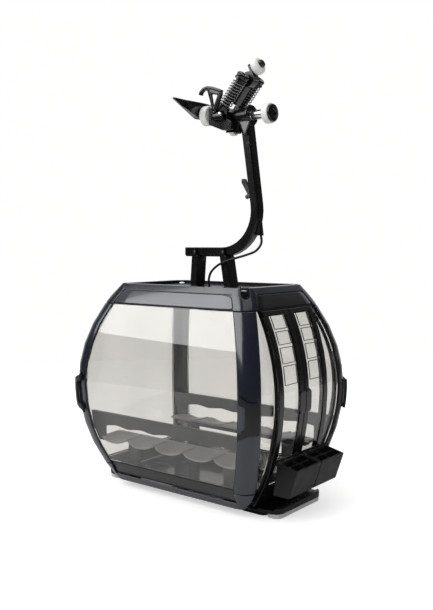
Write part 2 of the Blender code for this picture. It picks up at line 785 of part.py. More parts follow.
def arm_path():
    """Centre line of bar, bend and arm in the XZ plane, with its heading at each point."""
    points = [(ARM_BAR_END_X, ARM_BAR_Z, 0.0)]
    steps = 12
    end = math.radians(90 + ARM_LEAN)
    for i in range(steps + 1):
        turn = end * i / steps
        x = ARM_BEND_X + ARM_BEND_R * math.sin(turn)
        z = bend_centre_z() - ARM_BEND_R * math.cos(turn)
        points.append((x, z, turn))
    x, z, turn = points[-1]
    rise = AXIS_Z - EYE_R / 2 - z
    points.append((x + rise / math.tan(turn), z + rise, turn))
    return points


def arm_middle(z):
    """Centre of the arm's straight upper part at height z."""
    x, low, turn = arm_path()[-2]
    return x + (z - low) / math.tan(turn)


def make_arm(material):
    """Bar, bend and arm in one moulding, with the eye for the shaft, a boss and two gussets."""
    half = ARM_THICK / 2
    front = ARM_WIDTH / 2
    step = ARM_REBATE
    section = ((half, step - front), (half, front), (-half, front), (-half, -front), (half - step, -front),
               (half - step, step - front))
    rings = [[Vector((x + out * math.sin(turn), y, z - out * math.cos(turn))) for out, y in section]
             for x, z, turn in arm_path()]
    arm = add_object("hanger_arm", loft(rings), material)
    x0, x1 = EYE_X
    eye = [(x0, EYE_R), (x1 - EYE_RIM_LENGTH, EYE_R), (x1 - EYE_RIM_LENGTH, EYE_R + EYE_RIM),
           (x1, EYE_R + EYE_RIM)]
    axis = Matrix.Translation((0.0, 0.0, AXIS_Z))
    boolean(arm, stepped_rod(eye, axis), "UNION")
    low = AXIS_Z - GUSSET_DROP
    gusset = ((arm_middle(low) - GUSSET_WALL, low), (arm_middle(low) + GUSSET_WALL, low),
              (x1 - EYE_RIM_LENGTH / 2, AXIS_Z - EYE_R / 2), (x0 + EYE_R / 2, AXIS_Z - EYE_R / 2))
    boolean(arm, prism(gusset, "y", -front - GUSSET_WALL, front + GUSSET_WALL), "UNION")
    boss_z = AXIS_Z - BOSS_DROP
    boss = circle((arm_middle(boss_z), boss_z), BOSS_R, 16)
    boolean(arm, prism(boss, "y", -front - BOSS_PROUD, -front + BOSS_PROUD), "UNION")
    bore = [(x0 - EYE_R, SHAFT_R + RUNNING_GAP), (x1 + EYE_R, SHAFT_R + RUNNING_GAP)]
    boolean(arm, stepped_rod(bore, axis))


def make_posts(material):
    """Posts between roof deck and bar, each with a narrow tab on either side of the bar."""
    bar_low = ARM_BAR_Z - ARM_THICK / 2
    bar_high = ARM_BAR_Z + ARM_THICK / 2
    half = POST_WIDTH / 2
    inner = ARM_WIDTH / 2 + GAP
    outer = inner + POST_CHEEK
    foot_z = DECK_Z + GAP
    for name, top_x, foot_x in zip(("inner", "outer"), POST_TOP_X, POST_FOOT_X):
        tab_z = bar_low + POST_TAB
        outline = ((foot_x - half, foot_z), (foot_x + half, foot_z), (top_x + half, bar_low),
                   (top_x + POST_TAB, tab_z), (top_x + POST_TAB, bar_high), (top_x - POST_TAB, bar_high),
                   (top_x - POST_TAB, tab_z), (top_x - half, bar_low))
        post = add_object("hanger_post_" + name, prism(outline, "y", -outer, outer), material)
        slot = box((top_x - POST_WIDTH, -inner, bar_low - GAP), (top_x + POST_WIDTH, inner, bar_high + GAP))
        boolean(post, slot)


def make_hook(material):
    """Small fork with a ball knob on the inner side of the arm."""
    z = bend_centre_z() + HOOK_RISE
    face = arm_middle(z) - ARM_THICK / 2 - GAP
    half = HOOK_WALL / 2
    tip_x = face - HOOK_REACH
    tip_z = z + HOOK_REACH
    outline = ((face, z), (face, z - 2 * HOOK_WALL), (face - HOOK_WALL, z - HOOK_WALL / 2),
               (tip_x, tip_z - half), (tip_x, tip_z + half), (tip_x + HOOK_WALL, tip_z + half))
    hook = add_object("hanger_hook", prism(outline, "y", -half, half), material)
    knob_x = face - HOOK_WALL
    knob_z = z - HOOK_WALL * 1.5
    sides = 12
    rings = []
    for i in range(1, 6):
        polar = math.pi * i / 6
        rings.append([Vector((knob_x + KNOB_R * math.cos(polar), y, knob_z + w))
                      for y, w in circle((0.0, 0.0), KNOB_R * math.sin(polar), sides)])
    boolean(hook, loft(rings), "UNION")


def make_gland(material):
    """Pointed wedge on the outer side of the bend. Returns where the cable leaves it."""
    high = bend_centre_z() - GLAND_DROP[0]
    low = bend_centre_z() - GLAND_DROP[1]
    rest = ARM_BEND_R + ARM_THICK / 2 + GAP

    def outside(z):
        return ARM_BEND_X + math.sqrt(rest * rest - (bend_centre_z() - z) ** 2)

    x_out = outside(high) + GLAND_PROUD
    outline = [(outside(z), z) for z in levels(low, high, 4)] + [(x_out, low)]
    add_object("cable_gland", prism(outline, "y", -GLAND_WALL / 2, GLAND_WALL / 2), material)
    return Vector((x_out - GLAND_PROUD, 0.0, low - GAP))


def make_cable(start, material):
    """Cable from the gland, in front of the outer post, to the roof deck."""
    route = [start] + [Vector(p) for p in CABLE_ROUTE] + [Vector((*CABLE_FOOT, DECK_Z + GAP))]
    per_span = 3
    smooth = []
    for i in range(len(route) - 1):
        before = route[max(i - 1, 0)]
        a = route[i]
        b = route[i + 1]
        after = route[min(i + 2, len(route) - 1)]
        for k in range(per_span):
            t = k / per_span
            bend = (2 * before - 5 * a + 4 * b - after) * t ** 2
            twist = (3 * a - before - 3 * b + after) * t ** 3
            smooth.append((2 * a + (b - before) * t + bend + twist) / 2)
    smooth.append(route[-1])
    curve = bpy.data.curves.new("cable", "CURVE")
    curve.dimensions = "3D"
    curve.bevel_depth = CABLE_R
    curve.bevel_resolution = 2
    curve.use_fill_caps = True
    spline = curve.splines.new("POLY")
    spline.points.add(len(smooth) - 1)
    for spot, point in zip(spline.points, smooth):
        spot.co = (*point, 1.0)
    curve.materials.append(material)
    cable = bpy.data.objects.new("cable", curve)
    bpy.context.scene.collection.objects.link(cable)


# Grip
def above_axis(points):
    """Outline whose heights are counted from the shaft's axis, as heights above the floor."""
    return [(x, AXIS_Z + rise) for x, rise in points]


def spring_line(along, y=0.0):
    """Placement on a spring's centre line, at a distance along it from its foot."""
    lean = math.radians(SPRING_LEAN)
    x = SPRING_FOOT_X + along * math.cos(lean)
    z = AXIS_Z + SPRING_FOOT_RISE + along * math.sin(lean)
    return leaning(x, y, z, SPRING_LEAN)


def make_grip_body(material):
    """Block on the shaft's end, with the springs' seat, a slot for the low roller and two cheeks."""
    x0, x1 = BODY_X
    slope = 1 / math.tan(math.radians(SPRING_LEAN))
    seat_x = SPRING_FOOT_X - GAP
    seat_rise = SPRING_FOOT_RISE - GAP
    top_x = seat_x - (BODY_TOP - seat_rise) / slope
    end_rise = seat_rise - (x1 - seat_x) * slope
    outline = above_axis(((x0, BODY_FOOT[0]), (x1 - LOW_WHEEL_R, BODY_FOOT[1]), (x1, BODY_FOOT[1]),
                          (x1, end_rise), (top_x, BODY_TOP), (x0, BODY_TOP)))
    body = add_object("grip_body", prism(outline, "y", -BODY_HALF_Y, BODY_HALF_Y), material)
    axis = Matrix.Translation((0.0, 0.0, AXIS_Z))
    boolean(body, stepped_rod([(x0 + BODY_CAP, SHAFT_R + GAP), (x1 + GAP, SHAFT_R + GAP)], axis))
    low_z = AXIS_Z + LOW_WHEEL_RISE
    near = LOW_WHEEL_X - LOW_WHEEL_WIDTH / 2 - GAP
    room = LOW_WHEEL_R + GAP
    boolean(body, box((near, -room, low_z - 2 * room), (x1 + GAP, room, low_z + room)))
    pin = [(near - PIN_R, PIN_R), (LOW_WHEEL_X + LOW_WHEEL_WIDTH / 2, PIN_R)]
    boolean(body, stepped_rod(pin, Matrix.Translation((0.0, 0.0, low_z)), 12), "UNION")
    pin = [(INNER_WHEEL_X - INNER_WHEEL_WIDTH / 2, INNER_PIN_R), (x0 + BODY_CAP / 2, INNER_PIN_R)]
    boolean(body, stepped_rod(pin, Matrix.Translation((0.0, 0.0, AXIS_Z + INNER_WHEEL_RISE)), 16), "UNION")
    cheek = above_axis(((x1 - BODY_CAP, BODY_FOOT[1]), (CHEEK_X, BODY_FOOT[1]), (CHEEK_X, CHEEK_TOP[1]),
                        (x1 - BODY_CAP, CHEEK_TOP[0])))
    for low, high in ((-BODY_HALF_Y, -CHEEK_HALF_Y), (CHEEK_HALF_Y, BODY_HALF_Y)):
        boolean(body, prism(cheek, "y", low, high), "UNION")


def make_shaft(material):
    start = BODY_X[0] + BODY_CAP + GAP
    rod = [(start, SHAFT_R), (SHAFT_END_X, SHAFT_R)]
    add_object("grip_shaft", stepped_rod(rod, Matrix.Translation((0.0, 0.0, AXIS_Z))), material)


def make_roller(name, place, radius, width, bore, material, crown_share=WHEEL_CROWN):
    """White roller with a crowned tread, turning about local X, with its origin on the axis."""
    half = width / 2
    edge = half * crown_share
    steps = 3
    crown = []
    for i in range(steps + 1):
        turn = math.pi / 2 * i / steps
        crown.append((half - edge + edge * math.sin(turn), radius - edge + edge * math.cos(turn)))
    profile = [(-half, bore)] + [(-x, r) for x, r in reversed(crown)] + crown + [(half, bore)]
    roller = add_object(name, turned(profile, Matrix()), material)
    roller.matrix_world = place


def make_hub(name, place, radius, material):
    """Dark disc on a roller's outer face, with a round socket in its middle."""
    depth = HUB_WALL / 2
    socket = HUB_SOCKET_R * radius / HUB_R
    profile = [(0.0, radius), (HUB_WALL - depth / 2, radius), (HUB_WALL, radius - depth / 2)]
    hub = add_object(name, stepped_rod(profile, Matrix()), material)
    hub.matrix_world = place
    cut = stepped_rod([(HUB_WALL - depth, socket), (HUB_WALL + depth, socket)], place, 16)
    boolean(hub, cut)


def roller_places():
    """Placement of each roller, with local X along its axis."""
    outer_x = SHAFT_END_X - OUTER_WHEEL_WIDTH / 2
    return {
        "roller_outer": leaning(outer_x, 0.0, AXIS_Z, 0.0),
        "roller_inner": leaning(INNER_WHEEL_X, 0.0, AXIS_Z + INNER_WHEEL_RISE, 0.0),
        "roller_top": leaning(TOP_WHEEL_X, 0.0, AXIS_Z + TOP_WHEEL_RISE, TOP_WHEEL_TILT),
        "roller_low": leaning(LOW_WHEEL_X, 0.0, AXIS_Z + LOW_WHEEL_RISE, 0.0),
    }


def make_rollers(white, black):
    places = roller_places()
    shaft = SHAFT_R + RUNNING_GAP
    pin = PIN_R + RUNNING_GAP
    inner_pin = INNER_PIN_R + RUNNING_GAP
    make_roller("roller_outer", places["roller_outer"], OUTER_WHEEL_R, OUTER_WHEEL_WIDTH, shaft, white)
    make_roller("roller_inner", places["roller_inner"], INNER_WHEEL_R, INNER_WHEEL_WIDTH, inner_pin, white)
    make_roller("roller_top", places["roller_top"], TOP_WHEEL_R, TOP_WHEEL_WIDTH, pin, white, TOP_WHEEL_CROWN)
    make_roller("roller_low", places["roller_low"], LOW_WHEEL_R, LOW_WHEEL_WIDTH, pin, white)
    outer_face = Matrix.Translation((OUTER_WHEEL_WIDTH / 2 + GAP, 0.0, 0.0))
    make_hub("hub_outer", places["roller_outer"] @ outer_face, HUB_R, black)
    top_face = Matrix.Translation((TOP_WHEEL_WIDTH / 2 + GAP, 0.0, 0.0))
    make_hub("hub_top", places["roller_top"] @ top_face, TOP_HUB_R, black)


def make_springs(rod_material, wire_material):
    """Two coil springs, each on a black guide rod with a cap at its head."""
    for name, sy in (("front", -1), ("rear", 1)):
        place = spring_line(0.0, sy * SPRING_Y)
        length = SPRING_LENGTH
        rod = [(0.0, ROD_R), (length, ROD_R), (length, CAP_R), (length + CAP_LENGTH, CAP_R)]
        add_object("spring_rod_" + name, stepped_rod(rod, place, 16), rod_material)
        sides = 6
        per_turn = 14
        count = SPRING_TURNS * per_turn
        start = SPRING_WIRE_R + GAP
        run = length - 2 * start
        rings = []
        for i in range(count + 1):
            turn = 2 * math.pi * i / per_turn
            out = Vector((0.0, math.cos(turn), math.sin(turn)))
            middle = Vector((start + run * i / count, 0.0, 0.0)) + out * SPRING_COIL_R
            rings.append([middle + out * a + Vector((b, 0.0, 0.0))
                          for a, b in circle((0.0, 0.0), SPRING_WIRE_R, sides)])
        wire = loft(rings)
        wire.transform(place)
        add_object("spring_" + name, wire, wire_material)


def make_lever(material):
    """Lever between the springs, with a rounded yoke and the tilted fork of the top roller."""
    half = LEVER_WALL / 2
    start = 2 * LEVER_WALL / 3
    bar = box((start, -LEVER_HALF_Y, -half), (YOKE_ALONG, LEVER_HALF_Y, half))
    bar.transform(spring_line(0.0))
    lever = add_object("grip_lever", bar, material)
    yoke_place = spring_line(YOKE_ALONG).translation
    yoke = circle((yoke_place.x, yoke_place.z), YOKE_R, 16)
    boolean(lever, prism(yoke, "y", -LEVER_HALF_Y, LEVER_HALF_Y), "UNION")
    place = roller_places()["roller_top"]
    face = TOP_WHEEL_WIDTH / 2 + GAP
    fork = box((-face - FORK_WALL, -LEVER_HALF_Y, -FORK_HEIGHT), (-face, LEVER_HALF_Y, FORK_HEIGHT / 2))
    fork.transform(place)
    boolean(lever, fork, "UNION")
    pin = [(-face - FORK_WALL / 2, PIN_R), (TOP_WHEEL_WIDTH / 2, PIN_R)]
    boolean(lever, stepped_rod(pin, place, 12), "UNION")


def make_rope_guides(material):
    """Jaw block beyond the inner roller, with a long pointed guide on each side of it."""
    x1 = INNER_WHEEL_X - INNER_WHEEL_WIDTH / 2 - GAP
    x0 = x1 - GUIDE_THICK
    middle = (x0 + x1) / 2
    top = AXIS_Z + GUIDE_TOP
    section = above_axis(((x0, GUIDE_TOP), (x0, GUIDE_RIDGE), (middle - ROPE_R, GUIDE_FOOT),
                          (middle + ROPE_R, GUIDE_FOOT), (x1, GUIDE_RIDGE), (x1, GUIDE_TOP)))
    rings = []
    for y, share in ((-GUIDE_TIP_Y, 0.08), (-GUIDE_BASE_Y, 1.0), (GUIDE_BASE_Y, 1.0), (GUIDE_TIP_Y, 0.08)):
        rings.append([Vector((middle + (x - middle) * share, y, top + (z - top) * share)) for x, z in section])
    guides = add_object("rope_guides", loft(rings), material)
    groove = circle((middle, AXIS_Z + GUIDE_FOOT), ROPE_R, 16)
    boolean(guides, prism(groove, "y", -GUIDE_TIP_Y, GUIDE_TIP_Y))


def make_bracket(material):
    """Three-cornered open plate on the front of the grip, with the arch that hooks over it."""
    back = -(BODY_HALF_Y + GAP)
    corners = above_axis(reversed(BRACKET_CORNERS))
    outline = rounded(corners, BRACKET_RIM / 2)
    plate = add_object("grip_bracket", prism(outline, "y", back - BRACKET_WALL, back), material)
    boolean(plate, prism(above_axis(BRACKET_FOOT), "y", back - BRACKET_WALL, back), "UNION")
    line = above_axis(ARCH_LINE)
    arch = line + [(x, z - ARCH_WALL) for x, z in reversed(line)]
    boolean(plate, prism(arch, "y", back - BRACKET_WALL / 2, ARCH_BACK_Y), "UNION")
    hole = shrunk(corners, BRACKET_RIM)
    boolean(plate, prism(hole, "y", back - 2 * BRACKET_WALL, back + BRACKET_WALL))


def centre_on_footprint():
    """Put the middle of the whole outline over the origin, by way of one parent empty."""
    door_side = ski_point(1, 0)[0]
    pad_reach = (CORNER_R + GAP + PAD_WALL) * math.cos(corner_end(PAD_SIDE_REACH))
    blind_side = CABIN_WIDTH / 2 - CORNER_R + pad_reach
    centre = bpy.data.objects.new("footprint_centre", None)
    bpy.context.scene.collection.objects.link(centre)
    centre.location = ((blind_side - door_side) / 2, 0.0, 0.0)
    for thing in bpy.data.objects:
        if thing is not centre and thing.parent is None:
            thing.parent = centre


def main():
    clear_scene()
    blue_grey = make_material("blue_grey_shell", BLUE_GREY, 0.32)
    black = make_material("black_plastic", BLACK, 0.42)
    grey = make_material("grey_interior", MID_GREY, 0.55)
    light = make_material("light_strip", LIGHT_GREY, 0.5)
    white = make_material("white_roller", WHITE, 0.45)
    silver = make_material("silver_metal", SILVER, 0.25, 1.0)
    smoke = make_material("smoke_glass", SMOKE, 0.08)

    make_floor_tray(blue_grey)
    make_bands(black)
    make_pillars(blue_grey)
    make_windows(smoke)
    make_side_panes(smoke)
    make_door_surround(black)
    make_roof(blue_grey)
    for name, sy in (("front", -1), ("rear", 1)):
        make_leaf(name, sy, black)
        make_leaf_glass(name, sy, smoke)
        make_ski_box(name, sy, black)
        make_bench(name, sy, grey)
        make_backrest(name, sy, grey)
    make_pads(black)
    make_skids(black, light)

    make_arm(black)
    make_posts(black)
    make_hook(black)
    make_cable(make_gland(black), black)

    make_grip_body(black)
    make_shaft(silver)
    make_rollers(white, black)
    make_springs(black, silver)
    make_lever(black)
    make_rope_guides(black)
    make_bracket(black)
    centre_on_footprint()


main()
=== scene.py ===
import math

import bpy
from mathutils import Matrix, Vector


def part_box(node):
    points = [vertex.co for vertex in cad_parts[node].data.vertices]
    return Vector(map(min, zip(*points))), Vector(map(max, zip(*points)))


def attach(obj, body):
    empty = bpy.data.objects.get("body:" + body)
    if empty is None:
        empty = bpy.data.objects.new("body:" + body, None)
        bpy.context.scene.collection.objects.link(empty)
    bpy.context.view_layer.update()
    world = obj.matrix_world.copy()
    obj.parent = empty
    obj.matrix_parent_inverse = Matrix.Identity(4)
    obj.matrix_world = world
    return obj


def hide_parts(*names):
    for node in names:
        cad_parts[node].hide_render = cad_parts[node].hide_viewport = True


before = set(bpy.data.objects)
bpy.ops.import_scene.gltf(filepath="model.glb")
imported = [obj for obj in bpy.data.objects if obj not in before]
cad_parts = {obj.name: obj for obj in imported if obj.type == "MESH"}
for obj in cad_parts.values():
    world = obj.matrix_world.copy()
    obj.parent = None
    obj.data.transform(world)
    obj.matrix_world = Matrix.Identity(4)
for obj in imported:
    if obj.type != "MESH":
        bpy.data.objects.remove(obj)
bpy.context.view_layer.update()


# Studio
# A round white table against white, one large soft lamp to the front left and one overhead.
# The camera stands a little above the roof, off the door-side corner.
scene = bpy.context.scene
scene.view_settings.view_transform = "Standard"

camera_data = bpy.data.cameras.new("camera")
camera_data.lens = 46.08
camera_data.clip_start = 0.005
camera_data.clip_end = 20.0
camera = bpy.data.objects.new("camera", camera_data)
scene.collection.objects.link(camera)
camera.location = (0.158154, -0.20016, 0.08123)
camera_sight = Vector((-0.6176, 0.7827, -0.0773))
camera.rotation_euler = camera_sight.to_track_quat("-Z", "Y").to_euler()
scene.camera = camera


def connect(tree, start, socket, end, other):
    tree.links.new(start.outputs[socket], end.inputs[other])


def reckon(tree, operation, first, second):
    """Math node of two inputs, each a number or a (node, socket) pair."""
    node = tree.nodes.new("ShaderNodeMath")
    node.operation = operation
    for slot, value in enumerate((first, second)):
        if isinstance(value, tuple):
            connect(tree, value[0], value[1], node, slot)
        else:
            node.inputs[slot].default_value = value
    return node


def fade(tree, source, start, end, low, high):
    """Smooth step from one level to another."""
    node = tree.nodes.new("ShaderNodeMapRange")
    node.interpolation_type = "SMOOTHSTEP"
    node.inputs["From Min"].default_value = start
    node.inputs["From Max"].default_value = end
    node.inputs["To Min"].default_value = low
    node.inputs["To Max"].default_value = high
    connect(tree, source[0], source[1], node, "Value")
    return node


def as_background(tree, seen, in_gloss, through_glass, in_matt):
    """Strength of a white background for each way in which it is seen, as a (node, socket) pair."""
    path = tree.nodes.new("ShaderNodeLightPath")
    level = in_matt
    for way, strength in (("Is Camera Ray", seen), ("Is Glossy Ray", in_gloss),
                          ("Is Transmission Ray", through_glass)):
        share = reckon(tree, "MULTIPLY", (path, way), strength)
        rest = reckon(tree, "SUBTRACT", 1.0, (path, way))
        rest = reckon(tree, "MULTIPLY", (rest, 0), level)
        level = (reckon(tree, "ADD", (share, 0), (rest, 0)), 0)
    return level


bpy.ops.object.select_all(action="DESELECT")
bpy.ops.mesh.primitive_circle_add(vertices=96, radius=0.3, fill_type="NGON", location=(0, 0, 0))
table = bpy.context.object
table.name = "table"
table_white = bpy.data.materials.new("table_white")
table_white.use_nodes = True
tree = table_white.node_tree
shader = tree.nodes["Principled BSDF"]
shader.inputs["Base Color"].default_value = (0.70, 0.70, 0.70, 1.0)
shader.inputs["Roughness"].default_value = 0.9
shader.inputs["Specular IOR Level"].default_value = 0.1
shader.inputs["Emission Color"].default_value = (1.0, 1.0, 0.995, 1.0)
place = tree.nodes.new("ShaderNodeTexCoord")
away = tree.nodes.new("ShaderNodeVectorMath")
away.operation = "LENGTH"
connect(tree, place, "Object", away, 0)
bare_table = fade(tree, (away, "Value"), start=0.03, end=0.14, low=0.55, high=1.0)
glow = as_background(tree, (bare_table, 0), in_gloss=0.04, through_glass=0.30, in_matt=0.0)
connect(tree, *glow, shader, "Emission Strength")
table.data.materials.append(table_white)

world = bpy.data.worlds.new("studio")
scene.world = world
world.use_nodes = True
sky = world.node_tree
background = sky.nodes["Background"]
background.inputs["Color"].default_value = (1.0, 0.998, 0.995, 1.0)
direction = sky.nodes.new("ShaderNodeTexCoord")
facing = sky.nodes.new("ShaderNodeVectorMath")
facing.operation = "DOT_PRODUCT"
screen_side = (-0.6176, 0.7827, 0.0)
facing.inputs[1].default_value = screen_side
connect(sky, direction, "Generated", facing, 0)
screen = fade(sky, (facing, "Value"), start=0.35, end=0.75, low=0.05, high=0.60)
white = as_background(sky, 1.0, in_gloss=(screen, 0), through_glass=0.96, in_matt=0.57)
connect(sky, *white, background, "Strength")


def soft_lamp(name, place, target, width, height, power):
    lamp_data = bpy.data.lights.new(name, "AREA")
    lamp_data.shape = "RECTANGLE"
    lamp_data.size = width
    lamp_data.size_y = height
    lamp_data.energy = power
    lamp = bpy.data.objects.new(name, lamp_data)
    scene.collection.objects.link(lamp)
    lamp.location = place
    lamp.rotation_euler = (Vector(target) - Vector(place)).to_track_quat("-Z", "Y").to_euler()


soft_lamp("front_left_softbox", (-0.32, -0.47, 0.50), (0.0, 0.0, 0.06), width=0.52, height=0.56, power=3.6)
soft_lamp("overhead_softbox", (0.02, 0.06, 0.62), (0.0, 0.0, 0.05), width=0.6, height=0.6, power=1.0)


# Cable
# Thin black lead that comes out of the gland on the bend, swings past the outer post and goes
# down through a rubber grommet in the roof deck.
cabin_shift = -0.002626


def across(x):
    """Place measured from the cabin's middle, in the frame, whose origin is the outline's middle."""
    return x + cabin_shift


def moulded(name, colour, roughness, mottle=0.25, patch=160.0, grain=0.12, coat=0.0, specular=0.5):
    """Moulded plastic: slow mottling in colour and gloss, and a fine skin from the mould."""
    material = bpy.data.materials.new(name)
    material.use_nodes = True
    tree = material.node_tree
    shader = tree.nodes["Principled BSDF"]
    shader.inputs["Coat Weight"].default_value = coat
    shader.inputs["Coat Roughness"].default_value = 0.06
    shader.inputs["Specular IOR Level"].default_value = specular
    place = tree.nodes.new("ShaderNodeTexCoord")
    cloud = tree.nodes.new("ShaderNodeTexNoise")
    cloud.inputs["Scale"].default_value = patch
    cloud.inputs["Detail"].default_value = 6.0
    cloud.inputs["Roughness"].default_value = 0.62
    connect(tree, place, "Object", cloud, "Vector")
    ramp = tree.nodes.new("ShaderNodeValToRGB")
    ramp.color_ramp.elements[0].position = 0.32
    ramp.color_ramp.elements[1].position = 0.72
    ramp.color_ramp.elements[0].color = tuple(c * (1 - mottle) for c in colour) + (1.0,)
    ramp.color_ramp.elements[1].color = tuple(min(1.0, c * (1 + mottle)) for c in colour) + (1.0,)
    connect(tree, cloud, "Fac", ramp, "Fac")
    connect(tree, ramp, "Color", shader, "Base Color")
    gloss = tree.nodes.new("ShaderNodeMapRange")
    gloss.inputs["From Min"].default_value = 0.3
    gloss.inputs["From Max"].default_value = 0.7
    gloss.inputs["To Min"].default_value = max(0.03, roughness - 0.07)
    gloss.inputs["To Max"].default_value = roughness + 0.09
    connect(tree, cloud, "Fac", gloss, "Value")
    connect(tree, gloss, "Result", shader, "Roughness")
    skin = tree.nodes.new("ShaderNodeTexNoise")
    skin.inputs["Scale"].default_value = 2600.0
    skin.inputs["Detail"].default_value = 3.0
    connect(tree, place, "Object", skin, "Vector")
    bump = tree.nodes.new("ShaderNodeBump")
    bump.inputs["Strength"].default_value = grain
    bump.inputs["Distance"].default_value = 0.00006
    connect(tree, skin, "Fac", bump, "Height")
    connect(tree, bump, "Normal", shader, "Normal")
    return material


def only(piece):
    """Select this piece alone and make it the active one."""
    bpy.ops.object.select_all(action="DESELECT")
    piece.select_set(True)
    bpy.context.view_layer.objects.active = piece


def settle(piece, material, body, smooth=38.0):
    """Give a finished piece its material, its shading and its body."""
    only(piece)
    piece.data.materials.clear()
    piece.data.materials.append(material)
    bpy.ops.object.shade_smooth_by_angle(angle=math.radians(smooth))
    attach(piece, body)
    return piece


def lathed(name, profile, place, steps=48):
    """Profile of (along, radius) pairs spun round local X and set in place."""
    mesh = bpy.data.meshes.new(name)
    count = len(profile)
    mesh.from_pydata([(x, 0.0, r) for x, r in profile], [(i, i + 1) for i in range(count - 1)], [])
    piece = bpy.data.objects.new(name, mesh)
    scene.collection.objects.link(piece)
    only(piece)
    bpy.ops.object.mode_set(mode="EDIT")
    bpy.ops.mesh.select_all(action="SELECT")
    bpy.ops.mesh.spin(steps=steps, angle=math.tau, center=(0, 0, 0), axis=(1, 0, 0))
    bpy.ops.mesh.select_all(action="SELECT")
    bpy.ops.mesh.remove_doubles(threshold=0.000004)
    bpy.ops.mesh.normals_make_consistent(inside=False)
    bpy.ops.object.mode_set(mode="OBJECT")
    piece.data.transform(place)
    return piece


def round_line(name, runs, thickness, resolution, closed=False):
    """Curve with a round section along one or more runs of points."""
    line = bpy.data.curves.new(name, "CURVE")
    line.dimensions = "3D"
    line.bevel_depth = thickness
    line.bevel_resolution = resolution
    line.use_fill_caps = not closed
    for run in runs:
        spline = line.splines.new("POLY")
        spline.points.add(len(run) - 1)
        for spot, point in zip(spline.points, run):
            spot.co = (*point, 1.0)
        spline.use_cyclic_u = closed
    piece = bpy.data.objects.new(name, line)
    scene.collection.objects.link(piece)
    return piece


cable_black = moulded("cable_black", (0.006, 0.006, 0.006), roughness=0.36, mottle=0.2, patch=300.0,
                      grain=0.1, coat=0.0, specular=0.4)
cable_bends = [Vector(p) / 1000 for p in (
    (20.404, 0.0, 84.3), (20.9, -0.4, 81.6), (19.4, -1.3, 79.2), (16.0, -2.4, 77.8), (10.8, -3.1, 76.4),
    (6.4, -3.3, 74.8), (2.8, -2.7, 72.4), (1.0, -1.7, 69.8), (0.6, -1.0, 67.7), (0.6, -1.0, 66.6))]
cable_radius = 0.00038
steps_between = 4
cable_points = []
for i in range(len(cable_bends) - 1):
    before = cable_bends[max(i - 1, 0)]
    a, b = cable_bends[i:i + 2]
    after = cable_bends[min(i + 2, len(cable_bends) - 1)]
    for k in range(steps_between):
        t = k / steps_between
        swing = (2 * before - 5 * a + 4 * b - after) * t ** 2 + (3 * a - before - 3 * b + after) * t ** 3
        cable_points.append((2 * a + (b - before) * t + swing) / 2)
cable_points.append(cable_bends[-1])
for point in cable_points:
    point.x = across(point.x)
roof_cable = round_line("roof_cable", [cable_points], cable_radius, resolution=4)
roof_cable.data.materials.append(cable_black)
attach(roof_cable, "cabin")
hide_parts("cable")

grommet_profile = [(-0.0002, 0.00036), (0.00026, 0.00042), (0.00040, 0.00058),
                   (0.00036, 0.00082), (0.00016, 0.00098), (-0.0002, 0.00104)]
grommet_place = Matrix.Translation((across(0.0006), -0.0010, 0.0674))
grommet = lathed("cable_grommet", grommet_profile, grommet_place @ Matrix.Rotation(-math.pi / 2, 4, "Y"), 32)
settle(grommet, cable_black, "cabin", 60.0)


# Floor tray and shell frame
# The lower tray and the four corner pillars are injection moulded in one dark blue-grey plastic
# with a soft gloss. Their edges are slightly rounded, and they clip together along fine seams.
widest_z = 0.035
barrel_radius_above = 0.0582
barrel_radius_below = 0.0627
cabin_half_width = 0.0370
cabin_half_depth = 0.0268
corner_radius = 0.0040


def drawn_in(z):
    """How far the barrel wall lies inside its widest line at height z."""
    radius = barrel_radius_above if z > widest_z else barrel_radius_below
    return radius - math.sqrt(radius * radius - (z - widest_z) ** 2)


def half_across(z, inset=0.0):
    return cabin_half_width - drawn_in(z) - inset


def half_along(z, inset=0.0):
    return cabin_half_depth - drawn_in(z) - inset


def rounded_edges(piece, edge, segments=2, limit=30.0):
    """Round every edge that turns by more than the limit, and keep wide faces flat."""
    only(piece)
    rounding = piece.modifiers.new("rounding", "BEVEL")
    rounding.width = edge
    rounding.segments = segments
    rounding.limit_method = "ANGLE"
    rounding.angle_limit = math.radians(limit)
    rounding.use_clamp_overlap = False
    rounding.miter_outer = "MITER_ARC"
    bpy.ops.object.modifier_apply(modifier="rounding")
    return piece


def flat_where_wide(piece):
    weights = piece.modifiers.new("weights", "WEIGHTED_NORMAL")
    weights.keep_sharp = True
    only(piece)
    bpy.ops.object.modifier_apply(modifier="weights")
    return piece


def softened(node, material, body, edge, segments=2, smooth=38.0, flat_faces=True):
    """The moulded piece for a CAD node: a merged copy, its flat faces joined and its edges rounded."""
    piece = bpy.data.objects.new(node + "_moulded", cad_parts[node].data.copy())
    scene.collection.objects.link(piece)
    only(piece)
    bpy.ops.object.mode_set(mode="EDIT")
    bpy.ops.mesh.select_all(action="SELECT")
    bpy.ops.mesh.remove_doubles(threshold=0.00001)
    if flat_faces:
        bpy.ops.mesh.dissolve_limited(angle_limit=math.radians(1.0))
    bpy.ops.object.mode_set(mode="OBJECT")
    if piece.data.has_custom_normals:
        bpy.ops.mesh.customdata_custom_splitnormals_clear()
    rounded_edges(piece, edge, segments)
    settle(piece, material, body, smooth)
    flat_where_wide(piece)
    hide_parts(node)
    return piece


shell = moulded("shell_blue_grey", (0.0110, 0.0142, 0.0235), roughness=0.22, mottle=0.10, patch=90.0,
                grain=0.04, coat=0.50)
for node in ("floor_tray", "pillar_front_door", "pillar_rear_door", "pillar_front_blind",
             "pillar_rear_blind"):
    softened(node, shell, "cabin", edge=0.00022, segments=3)

